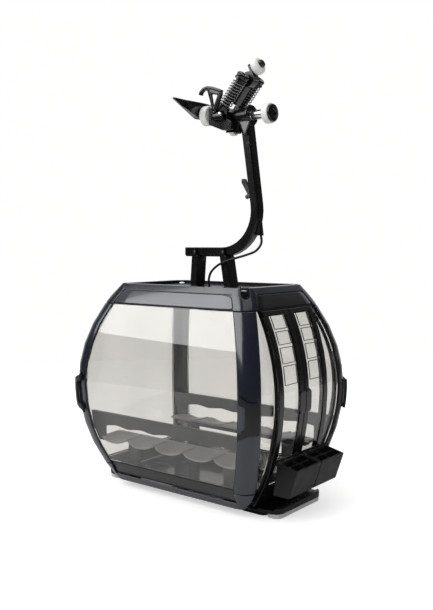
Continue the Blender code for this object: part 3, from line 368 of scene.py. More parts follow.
band_black = moulded("band_black", (0.009, 0.009, 0.0098), roughness=0.30, mottle=0.2, patch=120.0,
                     grain=0.06, coat=0.2)
for node in ("band_front", "band_rear", "band_blind_side"):
    softened(node, band_black, "cabin", edge=0.00015)


# Roof
# Cap in the shell's plastic, its deck left in small faces so that it shades evenly. A glossy
# panel is let into the recess on each side: black over the doors and on the side without doors,
# and silver grey at the two ends of the cabin, where the grey is a painted reflection of the sky.
softened("roof_cap", shell, "cabin", edge=0.00012, flat_faces=False)


def walled(piece, wall, offset=-1.0):
    """Thin sheet given its wall: inwards at -1, to both sides at 0."""
    only(piece)
    thickness = piece.modifiers.new("thickness", "SOLIDIFY")
    thickness.thickness = wall
    thickness.offset = offset
    bpy.ops.object.modifier_apply(modifier="thickness")
    return piece


def bowed_plate(name, side, low, high, near, far, inset, wall, corner=0.0):
    """Plate bent to the barrel: a grid laid on one wall from near(z) to far(z), thickened inwards."""
    bpy.ops.object.select_all(action="DESELECT")
    bpy.ops.mesh.primitive_grid_add(x_subdivisions=10, y_subdivisions=30, size=1.0)
    piece = bpy.context.object
    piece.name = name
    turn = 1 if side in ("front", "door") else -1
    for vert in piece.data.vertices:
        z = low + (high - low) * (vert.co.y + 0.5)
        past = max(0.0, z - high + corner, low + corner - z)
        trim = corner - math.sqrt(max(0.0, corner * corner - past * past))
        start = near(z) + trim
        along = start + (far(z) - trim - start) * (turn * vert.co.x + 0.5)
        if side in ("front", "rear"):
            vert.co = (across(along), -turn * half_along(z, inset), z)
        else:
            vert.co = (across(turn * half_across(z, inset)), along, z)
    return walled(piece, wall)


# The end panels' silver grey is a painted reflection; the side panels are black.
end_painted_reflection = moulded("roof_panel_painted_reflection", (0.060, 0.064, 0.076), roughness=0.20, mottle=0.14, patch=70.0,
                    grain=0.03, coat=0.6)
side_gloss = moulded("roof_panel_black", (0.007, 0.007, 0.0075), roughness=0.20, mottle=0.14, patch=70.0,
                     grain=0.03, coat=0.3)
panel_low, panel_high = 0.06235, 0.06630
end_hold, side_hold = 0.00575, 0.00535
for side, hold, gloss in (("front", end_hold, end_painted_reflection), ("rear", end_hold, end_painted_reflection),
                          ("door", side_hold, side_gloss), ("blind", side_hold, side_gloss)):
    reach = half_across if side in ("front", "rear") else half_along
    panel = bowed_plate("roof_panel_" + side, side, panel_low, panel_high, lambda z: -reach(z, hold),
                        lambda z: reach(z, hold), inset=0.00008, wall=0.0003, corner=0.0009)
    rounded_edges(panel, edge=0.00010)
    settle(panel, gloss, "cabin")


# Windows
# Smoked clear plastic, moulded as curved panes that snap in between the pillars. The tint
# is a warm grey that changes very slightly from place to place.
def smoked_clear(name, tint, roughness):
    material = bpy.data.materials.new(name)
    material.use_nodes = True
    tree = material.node_tree
    shader = tree.nodes["Principled BSDF"]
    shader.inputs["Transmission Weight"].default_value = 1.0
    shader.inputs["IOR"].default_value = 1.46
    shader.inputs["Roughness"].default_value = roughness
    place = tree.nodes.new("ShaderNodeTexCoord")
    haze = tree.nodes.new("ShaderNodeTexNoise")
    haze.inputs["Scale"].default_value = 60.0
    haze.inputs["Detail"].default_value = 4.0
    connect(tree, place, "Object", haze, "Vector")
    ramp = tree.nodes.new("ShaderNodeValToRGB")
    ramp.color_ramp.elements[0].position = 0.3
    ramp.color_ramp.elements[1].position = 0.7
    ramp.color_ramp.elements[0].color = tuple(c * 0.97 for c in tint) + (1.0,)
    ramp.color_ramp.elements[1].color = tuple(min(1.0, c * 1.02) for c in tint) + (1.0,)
    connect(tree, haze, "Fac", ramp, "Fac")
    connect(tree, ramp, "Color", shader, "Base Color")
    return material


smoke = smoked_clear("smoked_clear", (0.80, 0.79, 0.765), 0.0)
window_low, window_high = 0.0095, 0.0618
pane_wall = 0.0008
jamb_y = 0.0139
for side, hold, node in (("front", 0.0058, "window_front"), ("rear", 0.0058, "window_rear"),
                         ("blind", 0.0043, "window_blind_side")):
    reach = half_across if side in ("front", "rear") else half_along
    pane = bowed_plate(node + "_pane", side, window_low, window_high, lambda z: -reach(z, hold),
                       lambda z: reach(z, hold), inset=0.0004, wall=pane_wall)
    settle(pane, smoke, "cabin")
    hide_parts(node)
pane_low, pane_high = (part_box("side_pane_front")[i][2] for i in (0, 1))
for end, sign in (("front", -1), ("rear", 1)):
    lower = (lambda z: -half_along(z, 0.0043)) if sign < 0 else (lambda z: jamb_y)
    upper = (lambda z: -jamb_y) if sign < 0 else (lambda z: half_along(z, 0.0043))
    pane = bowed_plate("side_pane_" + end + "_clear", "door", pane_low, pane_high, lower, upper,
                       inset=0.0015, wall=pane_wall)
    settle(pane, smoke, "cabin")
    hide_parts("side_pane_" + end)


# Joint lines
# Black beads along the joints round every window and the seams of roof and tray: painted
# shade of the gaps there.
def strip(name, runs, thickness, material, body, closed=False):
    """Round bead along one or more runs of points, as one mesh."""
    only(round_line(name, runs, thickness, resolution=2, closed=closed))
    bpy.ops.object.convert(target="MESH")
    return settle(bpy.context.object, material, body, 60.0)


def wall_spot(side, along, z, inset):
    """Point on the outside of one wall, this far along it and this far inside its face."""
    if side in ("front", "rear"):
        sign = -1 if side == "front" else 1
        return (across(along), sign * half_along(z, inset), z)
    sign = 1 if side == "door" else -1
    return (across(sign * half_across(z, inset)), along, z)


def frame_run(side, low, high, near, far, inset, steps=24):
    """Closed run of points round an opening on one wall."""
    rise = [low + (high - low) * i / steps for i in range(steps + 1)]
    up = [wall_spot(side, near(z), z, inset) for z in rise]
    down = [wall_spot(side, far(z), z, inset) for z in reversed(rise)]
    return up + down


# The black of the joint beads is painted shade in the gaps.
joint_shade_black = moulded("joint_painted_shade", (0.005, 0.005, 0.0052), roughness=0.42, mottle=0.2, patch=260.0,
                 grain=0.15, coat=0.0, specular=0.3)
sill_seam_z = 0.00935
roof_seam_z = 0.06195
tray_seam_z = 0.00815
window_runs = [frame_run(side, sill_seam_z, roof_seam_z, lambda z: -half_across(z, 0.00565),
                         lambda z: half_across(z, 0.00565), inset=0.00050) for side in ("front", "rear")]
window_runs.append(frame_run("blind", sill_seam_z, roof_seam_z, lambda z: -half_along(z, 0.00415),
                             lambda z: half_along(z, 0.00415), inset=0.00050))
strip("window_joint_shade", window_runs, 0.00028, joint_shade_black, "cabin", closed=True)
bead_y = 0.01375
side_pane_runs = [
    frame_run("door", pane_low, roof_seam_z, lambda z: -half_along(z, 0.00400), lambda z: -bead_y, 0.0014),
    frame_run("door", pane_low, roof_seam_z, lambda z: bead_y, lambda z: half_along(z, 0.00400), 0.0014)]
strip("side_pane_joint_shade", side_pane_runs, 0.00042, joint_shade_black, "cabin", closed=True)


def level_run(z, inset, steps=6):
    """Closed run round the whole barrel at one height, with its rounded corners."""
    wide = half_across(z, inset)
    deep = half_along(z, inset)
    radius = corner_radius - inset
    points = []
    for quarter, (sx, sy) in enumerate(((1, 1), (-1, 1), (-1, -1), (1, -1))):
        for k in range(steps + 1):
            angle = math.pi / 2 * (quarter + k / steps)
            points.append((across(sx * (wide - radius) + radius * math.cos(angle)),
                           sy * (deep - radius) + radius * math.sin(angle), z))
    return points


# Beads along the roof seam and the tray seam: painted shade in these seams.
strip("roof_seam_shade", [level_run(roof_seam_z, 0.00052)], 0.00030, joint_shade_black, "cabin", closed=True)
bead_radius = 0.0034
tray_arcs = []
for sx, sy in ((1, 1), (-1, 1), (-1, -1), (1, -1)):
    arc = []
    for k in range(9):
        angle = math.pi / 2 * k / 8
        arc.append((across(sx * (half_across(tray_seam_z, corner_radius) + bead_radius * math.cos(angle))),
                    sy * (half_along(tray_seam_z, corner_radius) + bead_radius * math.sin(angle)),
                    tray_seam_z))
    tray_arcs.append([(across(sx * half_across(tray_seam_z, 0.0054)), arc[-1][1], tray_seam_z)] + arc[::-1])
strip("tray_seam_shade", tray_arcs, 0.00026, joint_shade_black, "cabin")


# Doors
# Two black leaves that slide apart along the outside, each with a curved post on either side of
# its clear pane. Fine grooves mark four oblong fields on each pane, drawn as thin dark grey beads
# whose grey is painted shade in the grooves. The surround is fixed.
door_black = moulded("door_black", (0.0055, 0.0055, 0.0058), roughness=0.24, mottle=0.2, patch=140.0,
                     grain=0.05, coat=0.2, specular=0.35)
softened("door_surround", door_black, "cabin", edge=0.00015)
door_clear = smoked_clear("door_clear", (0.83, 0.825, 0.805), 0.0)
groove_painted_shade = moulded("groove_painted_shade", (0.010, 0.010, 0.0105), roughness=0.5, mottle=0.15, patch=300.0,
                      grain=0.1)
glass_low, glass_high = (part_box("leaf_glass_front")[i][2] for i in (0, 1))
pane_edges = (0.00285, 0.01090)
field_edges = (0.0036, 0.0102)
field_heights = ((0.0563, 0.0602), (0.0518, 0.0555), (0.0463, 0.0508), (0.0400, 0.0455))
bead_reach = 0.00010
for end, sign in (("front", -1), ("rear", 1)):
    body = "door_" + end
    softened("leaf_" + end, door_black, body, edge=0.00020, segments=3)
    inner, outer = sorted(sign * y for y in pane_edges)
    pane = bowed_plate("leaf_glass_" + end + "_clear", "door", glass_low, glass_high,
                       lambda z: inner, lambda z: outer, inset=0.0003, wall=0.0006)
    settle(pane, door_clear, body)
    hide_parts("leaf_glass_" + end)
    # A black bead round each pane: painted shade in the gap between pane and leaf.
    glass_edge = frame_run("door", glass_low - bead_reach, glass_high + bead_reach,
                           lambda z: inner - bead_reach, lambda z: outer + bead_reach, 0.00055)
    strip("leaf_joint_shade_" + end, [glass_edge], 0.00024, joint_shade_black, body, closed=True)
    # Four oblong fields drawn as dark grey beads: painted shade in the pane's grooves.
    field_low, field_high = sorted(sign * y for y in field_edges)
    fields = [frame_run("door", low, high, lambda z: field_low, lambda z: field_high, 0.00026, 6)
              for low, high in field_heights]
    strip("pane_groove_shade_" + end, fields, 0.00016, groove_painted_shade, body, closed=True)
# A black bead down the leaves' meeting edge: painted shade in the gap between them.
middle_run = [wall_spot("door", -0.00002, 0.0030 + 0.0585 * k / 30, 0.0007) for k in range(31)]
strip("door_meeting_shade", [middle_run], 0.00013, joint_shade_black, "door_front")


# Ski boxes
# Open-topped matt black boxes, one on each leaf. Thin ribs part each into four slots, and the
# box hangs a little off the door on a rail with small lugs along its back edge.
def pick_faces(piece, wanted):
    """In edit mode, select only the faces whose centre and normal are wanted."""
    bpy.ops.mesh.select_mode(type="FACE")
    bpy.ops.mesh.select_all(action="DESELECT")
    bpy.ops.object.mode_set(mode="OBJECT")
    for face in piece.data.polygons:
        face.select = wanted(face.center, face.normal)
    bpy.ops.object.mode_set(mode="EDIT")


def blank(low, high):
    """Block with sharp edges between two corners, to be shaped further."""
    bpy.ops.object.select_all(action="DESELECT")
    centre = [(a + b) / 2 for a, b in zip(low, high)]
    bpy.ops.mesh.primitive_cube_add(size=1.0, location=centre, scale=[b - a for a, b in zip(low, high)])
    bpy.ops.object.transform_apply(location=True, rotation=True, scale=True)
    return bpy.context.object


def block(low, high, edge):
    """Small moulded block between two corners, with rounded edges."""
    return rounded_edges(blank(low, high), edge)


def joined(name, pieces):
    """Several meshes made one piece."""
    bpy.ops.object.select_all(action="DESELECT")
    for piece in pieces:
        piece.select_set(True)
    bpy.context.view_layer.objects.active = pieces[0]
    bpy.ops.object.join()
    pieces[0].name = name
    return pieces[0]


ski_black = moulded("ski_box_black", (0.0085, 0.0085, 0.0088), roughness=0.50, mottle=0.18, patch=220.0,
                    grain=0.30, coat=0.0, specular=0.3)
door_face = half_across(0.0179) + 0.0003
box_edges = (0.00015, 0.0136)
depths = (0.0, 0.10, 0.40, 0.47, 0.90, 1.0)
widths = (0.0, 0.05, 0.484, 0.516, 0.95, 1.0)
rim_drop, slot_depth, box_height = 0.06, 0.62, 1.0
top_stand, top_reach, top_z, top_slope = 0.0013, 0.0069, 0.0177, 0.0016
foot_sink, foot_reach, foot_z = 0.0002, 0.0055, 0.0076
lug_shares = (0.10, 0.36, 0.62, 0.88)
for end, sign in (("front", -1), ("rear", 1)):
    bpy.ops.object.select_all(action="DESELECT")
    bpy.ops.mesh.primitive_grid_add(x_subdivisions=5, y_subdivisions=5, size=1.0)
    ski = bpy.context.object
    near, far = sorted(sign * y for y in box_edges)
    wide = far - near
    for vert in ski.data.vertices:
        vert.co = (depths[round((vert.co.x + 0.5) * 5)], widths[round((vert.co.y + 0.5) * 5)], 0.0)
    bpy.ops.object.mode_set(mode="EDIT")
    pick_faces(ski, lambda c, n: depths[1] < c.x < depths[4] and widths[1] < c.y < widths[4])
    bpy.ops.mesh.extrude_region_move(TRANSFORM_OT_translate={"value": (0, 0, -rim_drop)})
    pick_faces(ski, lambda c, n: c.z < -0.9 * rim_drop and abs(n.z) > 0.9
               and not depths[2] < c.x < depths[3] and not widths[2] < c.y < widths[3])
    bpy.ops.mesh.extrude_region_move(TRANSFORM_OT_translate={"value": (0, 0, -slot_depth)})
    bpy.ops.mesh.select_mode(type="EDGE")
    bpy.ops.mesh.select_all(action="DESELECT")
    bpy.ops.mesh.select_non_manifold()
    bpy.ops.mesh.extrude_region_move(TRANSFORM_OT_translate={"value": (0, 0, -box_height)})
    bpy.ops.mesh.edge_face_add()
    bpy.ops.mesh.select_all(action="SELECT")
    bpy.ops.mesh.normals_make_consistent(inside=False)
    bpy.ops.object.mode_set(mode="OBJECT")
    for vert in ski.data.vertices:
        out, share, down = vert.co.x, vert.co.y, -vert.co.z
        top = Vector((door_face + top_stand + top_reach * out, top_z - top_slope * out))
        foot = Vector((door_face - foot_sink + foot_reach * out, foot_z))
        spot = top.lerp(foot, down)
        vert.co = (across(spot.x), near + wide * share, spot.y)
    rounded_edges(ski, edge=0.00016)
    lugs = []
    for share in lug_shares:
        y = near + wide * share
        lugs.append(block((across(door_face - 0.0004), y - 0.0006, 0.0164),
                          (across(door_face + 0.0018), y + 0.0006, 0.0176), 0.00012))
    rail = block((across(door_face + 0.0001), near + 0.0006, 0.0171),
                 (across(door_face + 0.0007), far - 0.0006, 0.0180), 0.00012)
    ski = joined("ski_box_" + end + "_moulded", [ski, rail] + lugs)
    settle(ski, ski_black, "door_" + end)
    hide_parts("ski_box_" + end)


# Rub pads
# Four dark pads of plastic, pushed over the corners at mid height. They take the knocks where
# cabins touch in the station.
pad_black = moulded("pad_black", (0.0085, 0.0088, 0.0098), roughness=0.36, mottle=0.22, patch=240.0,
                    grain=0.2, coat=0.0, specular=0.35)
for node in ("pad_front_door", "pad_rear_door", "pad_front_blind", "pad_rear_blind"):
    softened(node, pad_black, "cabin", edge=0.00020, segments=3)


# Skids
# Two black runners with rounded corners, a raised lip on the outer side and a dark foot below.
# Under the outer part of each is a light sole of soft plastic, moulded in four thin ribs.
def runner(low, high, corner):
    """Slab with its four upright corners rounded. It is left in edit mode."""
    slab = blank(low, high)
    bpy.ops.object.mode_set(mode="EDIT")
    bpy.ops.mesh.select_mode(type="EDGE")
    bpy.ops.mesh.select_all(action="DESELECT")
    bpy.ops.object.mode_set(mode="OBJECT")
    points = slab.data.vertices
    for edge in slab.data.edges:
        a, b = (points[i].co for i in edge.vertices)
        edge.select = abs(a.x - b.x) + abs(a.y - b.y) < 0.00001
    bpy.ops.object.mode_set(mode="EDIT")
    bpy.ops.mesh.bevel(offset=corner, segments=10)
    return slab


skid_black = moulded("skid_black", (0.0050, 0.0050, 0.0056), roughness=0.30, mottle=0.2, patch=150.0,
                     grain=0.08, coat=0.0, specular=0.25)
sole_grey = moulded("sole_grey", (0.66, 0.66, 0.645), roughness=0.5, mottle=0.08, patch=300.0, grain=0.2)
slab_x, foot_x, sole_x = (0.0202, 0.0362), (0.0210, 0.0308), (0.0310, 0.0358)
slab_half, foot_half, sole_half = 0.0128, 0.0120, 0.0123
foot_top, rib_pitch, rib_height, core_top = 0.00140, 0.00034, 0.00031, 0.00130
for name, sx in (("door_side", 1), ("blind_side", -1)):
    low_x, high_x = sorted(across(sx * x) for x in slab_x)
    skid = runner((low_x, -slab_half, 0.00135), (high_x, slab_half, 0.0020), corner=0.0034)
    for wall_x, rise in ((0.0286, 0.00055), (0.0343, 0.00075)):
        bpy.ops.mesh.select_all(action="SELECT")
        bpy.ops.mesh.bisect(plane_co=(across(sx * wall_x), 0, 0), plane_no=(1, 0, 0))
        edge_x = across(sx * wall_x)
        pick_faces(skid, lambda c, n: n.z > 0.9 and sx * (c.x - edge_x) > 0)
        bpy.ops.mesh.extrude_region_move(TRANSFORM_OT_translate={"value": (0, 0, rise)})
    bpy.ops.object.mode_set(mode="OBJECT")
    rounded_edges(skid, edge=0.00030, segments=3)
    foot_low, foot_high = sorted(across(sx * x) for x in foot_x)
    foot = runner((foot_low, -foot_half, 0.0), (foot_high, foot_half, foot_top), corner=0.0020)
    bpy.ops.object.mode_set(mode="OBJECT")
    skid = joined("skid_" + name + "_moulded", [skid, rounded_edges(foot, edge=0.00015)])
    settle(skid, skid_black, "cabin")
    flat_where_wide(skid)
    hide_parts("skid_" + name)

    sole_low, sole_high = sorted(across(sx * x) for x in sole_x)
    ribs = []
    for k in range(4):
        rib_z = rib_pitch * k
        rib = runner((sole_low, -sole_half, rib_z), (sole_high, sole_half, rib_z + rib_height), corner=0.0022)
        bpy.ops.object.mode_set(mode="OBJECT")
        ribs.append(rounded_edges(rib, edge=0.00010))
    core = runner((sole_low + 0.0002, -0.0121, 0.00004), (sole_high - 0.0002, 0.0121, core_top),
                  corner=0.0020)
    bpy.ops.object.mode_set(mode="OBJECT")
    sole = joined("skid_sole_" + name, [core] + ribs)
    settle(sole, sole_grey, "cabin")
    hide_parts("skid_strip_" + name)


# Benches
# Two facing benches. Each has five dished pans of light grey plastic on a dark frame with two
# legs, and a backrest rail that is fixed to the walls by its two end feet.
seat_grey = moulded("seat_grey", (0.400, 0.400, 0.395), roughness=0.42, mottle=0.16, patch=120.0,
                    grain=0.2)
frame_grey = moulded("bench_frame_grey", (0.100, 0.101, 0.105), roughness=0.40, mottle=0.15, patch=120.0,
                     grain=0.2)
rail_grey = moulded("rail_grey", (0.042, 0.043, 0.047), roughness=0.36, mottle=0.2, patch=120.0,
                    grain=0.2)
bench_middle_x, seat_pitch = 0.0008, 0.0119
seat_half_width, seat_narrowing = 0.0058, 0.0006
seat_front_y, seat_depth, seat_rounding = 0.0133, 0.0090, 0.0006
seat_z, seat_fall, seat_dish, dish_middle = 0.0180, 0.0009, 0.0012, 0.4
beam_y, leg_y, leg_xs, leg_half = (0.0140, 0.0168), (0.0148, 0.0162), (-0.0195, 0.0205), 0.0021
for end, sign in (("front", -1), ("rear", 1)):
    pans = []
    for k in range(-2, 3):
        bpy.ops.object.select_all(action="DESELECT")
        bpy.ops.mesh.primitive_grid_add(x_subdivisions=12, y_subdivisions=10, size=1.0)
        pan = bpy.context.object
        for vert in pan.data.vertices:
            share = 2 * vert.co.x
            back = vert.co.y + 0.5
            x = bench_middle_x + seat_pitch * k + share * (seat_half_width - seat_narrowing * back)
            y = seat_front_y + back * (seat_depth - seat_rounding * share ** 6)
            z = seat_z - seat_fall * back + seat_dish * back * (share ** 2 - dish_middle)
            vert.co = (across(x), sign * y, z)
        only(pan)
        bpy.ops.object.mode_set(mode="EDIT")
        bpy.ops.mesh.select_all(action="SELECT")
        bpy.ops.mesh.normals_make_consistent(inside=False)
        bpy.ops.object.mode_set(mode="OBJECT")
        pans.append(rounded_edges(walled(pan, wall=0.0007), edge=0.00012, limit=50.0))
    pans = settle(joined("seat_pans_" + end, pans), seat_grey, "cabin", 50.0)
    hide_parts("bench_" + end)
    beam_near, beam_far = sorted(sign * y for y in beam_y)
    leg_near, leg_far = sorted(sign * y for y in leg_y)
    legs = [block((across(x - leg_half), leg_near, 0.0036), (across(x + leg_half), leg_far, 0.0160),
                  edge=0.00015) for x in leg_xs]
    beam = block((across(-0.0262), beam_near, 0.0158), (across(0.0282), beam_far, 0.0170), edge=0.00015)
    settle(joined("bench_frame_" + end, [beam] + legs), frame_grey, "cabin")
    softened("backrest_" + end, rail_grey, "cabin", edge=0.00015)


# Hanger
# One black moulding that bends from the roof bar up to the head. Two posts hold it by narrow
# tabs and pins on either side of the bar, and a gland lets the cable out behind the bend.
hanger_black = moulded("hanger_black", (0.0036, 0.0036, 0.0038), roughness=0.26, mottle=0.15, patch=210.0,
                       grain=0.12, coat=0.20, specular=0.35)
softened("hanger_arm", hanger_black, "cabin", edge=0.00020, segments=3)
softened("hanger_post_inner", hanger_black, "cabin", edge=0.00018, segments=3)
softened("hanger_post_outer", hanger_black, "cabin", edge=0.00018, segments=3)
softened("cable_gland", hanger_black, "cabin", edge=0.00015)
hook_grey = moulded("hook_grey", (0.050, 0.050, 0.051), roughness=0.30, mottle=0.3, patch=260.0,
                    grain=0.2, coat=0.3)
softened("hanger_hook", hook_grey, "cabin", edge=0.00015, segments=3, smooth=60.0)
hook_foot = block((0.0128, -0.0007, 0.0957), (0.0152, 0.0007, 0.0969), edge=0.0002)
hook_foot.name = "hook_foot"
settle(hook_foot, hook_grey, "cabin", 60.0)


def along_y(x, y, z):
    """Placement of a turned piece whose axis runs towards -Y from this point."""
    return Matrix.Translation((across(x), y, z)) @ Matrix.Rotation(-math.pi / 2, 4, "Z")


def pin_head(x, y, z, radius, rise):
    """Domed pin head that stands out towards -Y, or towards +Y for a negative rise."""
    sunk = math.copysign(0.0003, -rise)
    profile = [(sunk, 0.0), (sunk, radius), (rise * 0.5, radius), (rise * 0.85, radius * 0.86),
               (rise, radius * 0.55), (rise, radius * 0.28), (rise * 0.7, radius * 0.22), (rise * 0.7, 0.0)]
    return lathed("pin", profile, along_y(x, y, z), 24)


bar_z = 0.0788
post_tops_x = (-0.0045, 0.0072)
pins = []
for x in post_tops_x:
    pins.append(pin_head(x, -0.0023, bar_z, 0.00048, 0.00028))
    pins.append(pin_head(x, 0.0023, bar_z, 0.00048, -0.00028))
settle(joined("hanger_pins", pins), hook_grey, "cabin")
saddle_half = 0.0013
saddles = [block((across(x - saddle_half), -saddle_half, 0.0760),
                 (across(x + saddle_half), saddle_half, 0.0774), edge=0.00012) for x in post_tops_x]
settle(joined("bar_saddles", saddles), hanger_black, "cabin")


def rounded_outline(corners, bend):
    """Points round a polygon of (across, up) corners, each corner rounded with four points."""
    outline = []
    for i, corner in enumerate(corners):
        here = Vector(corner)
        start = here + (Vector(corners[i - 1]) - here).normalized() * bend
        end = here + (Vector(corners[(i + 1) % len(corners)]) - here).normalized() * bend
        for k in range(4):
            t = k / 3
            outline.append(start * (1 - t) ** 2 + here * (2 * t * (1 - t)) + end * t ** 2)
    return outline


def thickened(piece, wall, edge):
    """Thin sheet given its wall to both sides, and its edges rounded."""
    return rounded_edges(walled(piece, wall, offset=0.0), edge, 3)


bpy.ops.object.select_all(action="DESELECT")
bpy.ops.mesh.primitive_circle_add(vertices=12, radius=1.0, fill_type="NGON")
tongue = bpy.context.object
tongue_top_z = 0.1193
tongue_lean = 0.25
tongue_corners = ((0.0136, tongue_top_z), (0.0177, tongue_top_z), (0.0166, 0.1146))
for vert, spot in zip(tongue.data.vertices, rounded_outline(tongue_corners, bend=0.0006)):
    vert.co = (across(spot.x), -0.0021 - tongue_lean * (tongue_top_z - spot.y), spot.y)
tongue = thickened(tongue, wall=0.0005, edge=0.00018)
tongue.name = "hanger_tongue"
settle(tongue, hook_grey, "cabin")

post_feet_x = (-0.0052, 0.0089)
collars = [block((across(x - 0.0019), -0.0028, 0.0673), (across(x + 0.0019), 0.0028, 0.0677), edge=0.00012)
           for x in post_feet_x]
settle(joined("post_collars", collars), hanger_black, "cabin")


# Grip
# The clamp that would hold the rope: body, lever, long rope guides and an open bracket plate in
# glossy black plastic, held together by pins. The lever is pressed down by the two springs.
grip_black = moulded("grip_black", (0.0042, 0.0042, 0.0044), roughness=0.20, mottle=0.18, patch=260.0,
                     grain=0.12, coat=0.40, specular=0.4)
softened("grip_body", grip_black, "grip", edge=0.00020, segments=3)
softened("grip_lever", grip_black, "grip", edge=0.00025, segments=3)
guide_gloss = moulded("rope_guide_gloss", (0.0042, 0.0042, 0.0044), roughness=0.14, mottle=0.1,
                      patch=200.0, grain=0.04, coat=0.8)
softened("rope_guides", guide_gloss, "grip", edge=0.00040, segments=4, smooth=60.0)

bpy.ops.object.select_all(action="DESELECT")
rings = []
for size in (1.0, 0.5):
    bpy.ops.mesh.primitive_circle_add(vertices=12, radius=size, fill_type="NOTHING")
    rings.append(bpy.context.object)
bracket = joined("bracket_ring", rings)
only(bracket)
bpy.ops.object.mode_set(mode="EDIT")
bpy.ops.mesh.select_all(action="SELECT")
bpy.ops.mesh.bridge_edge_loops()
bpy.ops.object.mode_set(mode="OBJECT")
shaft_z = 0.1212
ring_outside = rounded_outline(((0.0036, 0.0091), (0.0101, 0.0069), (0.0066, 0.0002)), bend=0.0009)
ring_inside = rounded_outline(((0.0056, 0.0069), (0.0080, 0.0064), (0.0064, 0.0029)), bend=0.00035)
for vert, spot in zip(bracket.data.vertices, ring_outside + ring_inside):
    vert.co = (across(spot.x), -0.0058, shaft_z + spot.y)
bracket = thickened(bracket, wall=0.0008, edge=0.00020)

bpy.ops.object.select_all(action="DESELECT")
bpy.ops.mesh.primitive_grid_add(x_subdivisions=6, y_subdivisions=1, size=1.0)
arch = bpy.context.object
arch_line = ((0.0009, 0.0071), (0.0012, 0.0080), (0.0022, 0.0088), (0.0037, 0.0091), (0.0056, 0.0087),
             (0.0076, 0.0080), (0.0094, 0.0072))
for vert in arch.data.vertices:
    x, rise = arch_line[round((vert.co.x + 0.5) * 6)]
    vert.co = (across(x), -0.00555 + 0.0013 * vert.co.y, shaft_z + rise)
arch = thickened(arch, wall=0.0011, edge=0.00022)
foot = block((across(0.0054), -0.0062, 0.1200), (across(0.0100), -0.0047, 0.1220), edge=0.00025)
bracket = settle(joined("grip_bracket_moulded", [bracket, arch, foot]), grip_black, "grip")
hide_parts("grip_bracket")


def bright_metal(name, colour, roughness, brush):
    """Drawn bright metal with fine lines round its axis."""
    material = bpy.data.materials.new(name)
    material.use_nodes = True
    tree = material.node_tree
    shader = tree.nodes["Principled BSDF"]
    shader.inputs["Metallic"].default_value = 1.0
    place = tree.nodes.new("ShaderNodeTexCoord")
    stretch = tree.nodes.new("ShaderNodeMapping")
    stretch.inputs["Scale"].default_value = brush
    lines = tree.nodes.new("ShaderNodeTexNoise")
    lines.inputs["Scale"].default_value = 700.0
    lines.inputs["Detail"].default_value = 4.0
    connect(tree, place, "Object", stretch, "Vector")
    connect(tree, stretch, "Vector", lines, "Vector")
    ramp = tree.nodes.new("ShaderNodeValToRGB")
    ramp.color_ramp.elements[0].position = 0.3
    ramp.color_ramp.elements[1].position = 0.7
    ramp.color_ramp.elements[0].color = tuple(c * 0.8 for c in colour) + (1.0,)
    ramp.color_ramp.elements[1].color = tuple(min(1.0, c * 1.1) for c in colour) + (1.0,)
    connect(tree, lines, "Fac", ramp, "Fac")
    connect(tree, ramp, "Color", shader, "Base Color")
    gloss = tree.nodes.new("ShaderNodeMapRange")
    gloss.inputs["To Min"].default_value = roughness - 0.08
    gloss.inputs["To Max"].default_value = roughness + 0.12
    connect(tree, lines, "Fac", gloss, "Value")
    connect(tree, gloss, "Result", shader, "Roughness")
    bump = tree.nodes.new("ShaderNodeBump")
    bump.inputs["Strength"].default_value = 0.15
    bump.inputs["Distance"].default_value = 0.00004
    connect(tree, lines, "Fac", bump, "Height")
    connect(tree, bump, "Normal", shader, "Normal")
    return material


shaft_metal = bright_metal("shaft_metal", (0.74, 0.73, 0.70), roughness=0.22, brush=(6.0, 1.0, 1.0))
shaft_start, shaft_end, shaft_radius = 0.0047, 0.0243, 0.00150
shaft_profile = [(shaft_start, 0.0), (shaft_start, shaft_radius), (0.0172, shaft_radius), (0.01735, 0.00142),
                 (0.0175, shaft_radius), (0.0241, shaft_radius), (shaft_end, 0.00136), (shaft_end, 0.0)]
shaft = lathed("grip_shaft_turned", shaft_profile, Matrix.Translation((across(0.0), 0.0, shaft_z)), 64)
settle(shaft, shaft_metal, "grip")
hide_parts("grip_shaft")


# Springs
# Two coils of bright wire on black guide rods. Each rod has a stepped cap at its head and a
# cup at its foot, where it stands on the grip's body.
spring_metal = bright_metal("spring_metal", (0.40, 0.395, 0.39), roughness=0.24, brush=(1.0, 1.0, 1.0))
spring_foot_x, spring_y, spring_foot_z = 0.0092, 0.0040, 0.1243
spring_lean = math.radians(49.0)
turns, steps_a_turn = 9, 28
coil_start, coil_length, coil_radius = 0.00052, 0.00836, 0.0019
cup_profile = [(-0.0018, 0.0), (-0.0018, 0.0018), (-0.0002, 0.0020), (0.0002, 0.0020)]
stem_profile = [(0.0003, 0.0013), (0.0094, 0.0013)]
cap_profile = [(0.0094, 0.0019), (0.0096, 0.0021), (0.0100, 0.0021), (0.0102, 0.00195), (0.0106, 0.00195),
               (0.0108, 0.0021), (0.0112, 0.0021), (0.0114, 0.00195), (0.0116, 0.0017), (0.0116, 0.0009),
               (0.0113, 0.0008), (0.0113, 0.0)]
for end, sign in (("front", -1), ("rear", 1)):
    place = Matrix.Translation((across(spring_foot_x), sign * spring_y, spring_foot_z)) \
        @ Matrix.Rotation(-spring_lean, 4, "Y")
    coil = []
    steps = turns * steps_a_turn
    for k in range(steps + 1):
        turn = math.tau * k / steps_a_turn
        along = coil_start + coil_length * k / steps
        coil.append(place @ Vector((along, coil_radius * math.cos(turn), coil_radius * math.sin(turn))))
    wire = strip("spring_" + end + "_wire", [coil], 0.00018, spring_metal, "grip")
    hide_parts("spring_" + end)
    rod = lathed("spring_rod_" + end + "_turned", cup_profile + stem_profile + cap_profile, place, 40)
    settle(rod, grip_black, "grip")
    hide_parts("spring_rod_" + end)


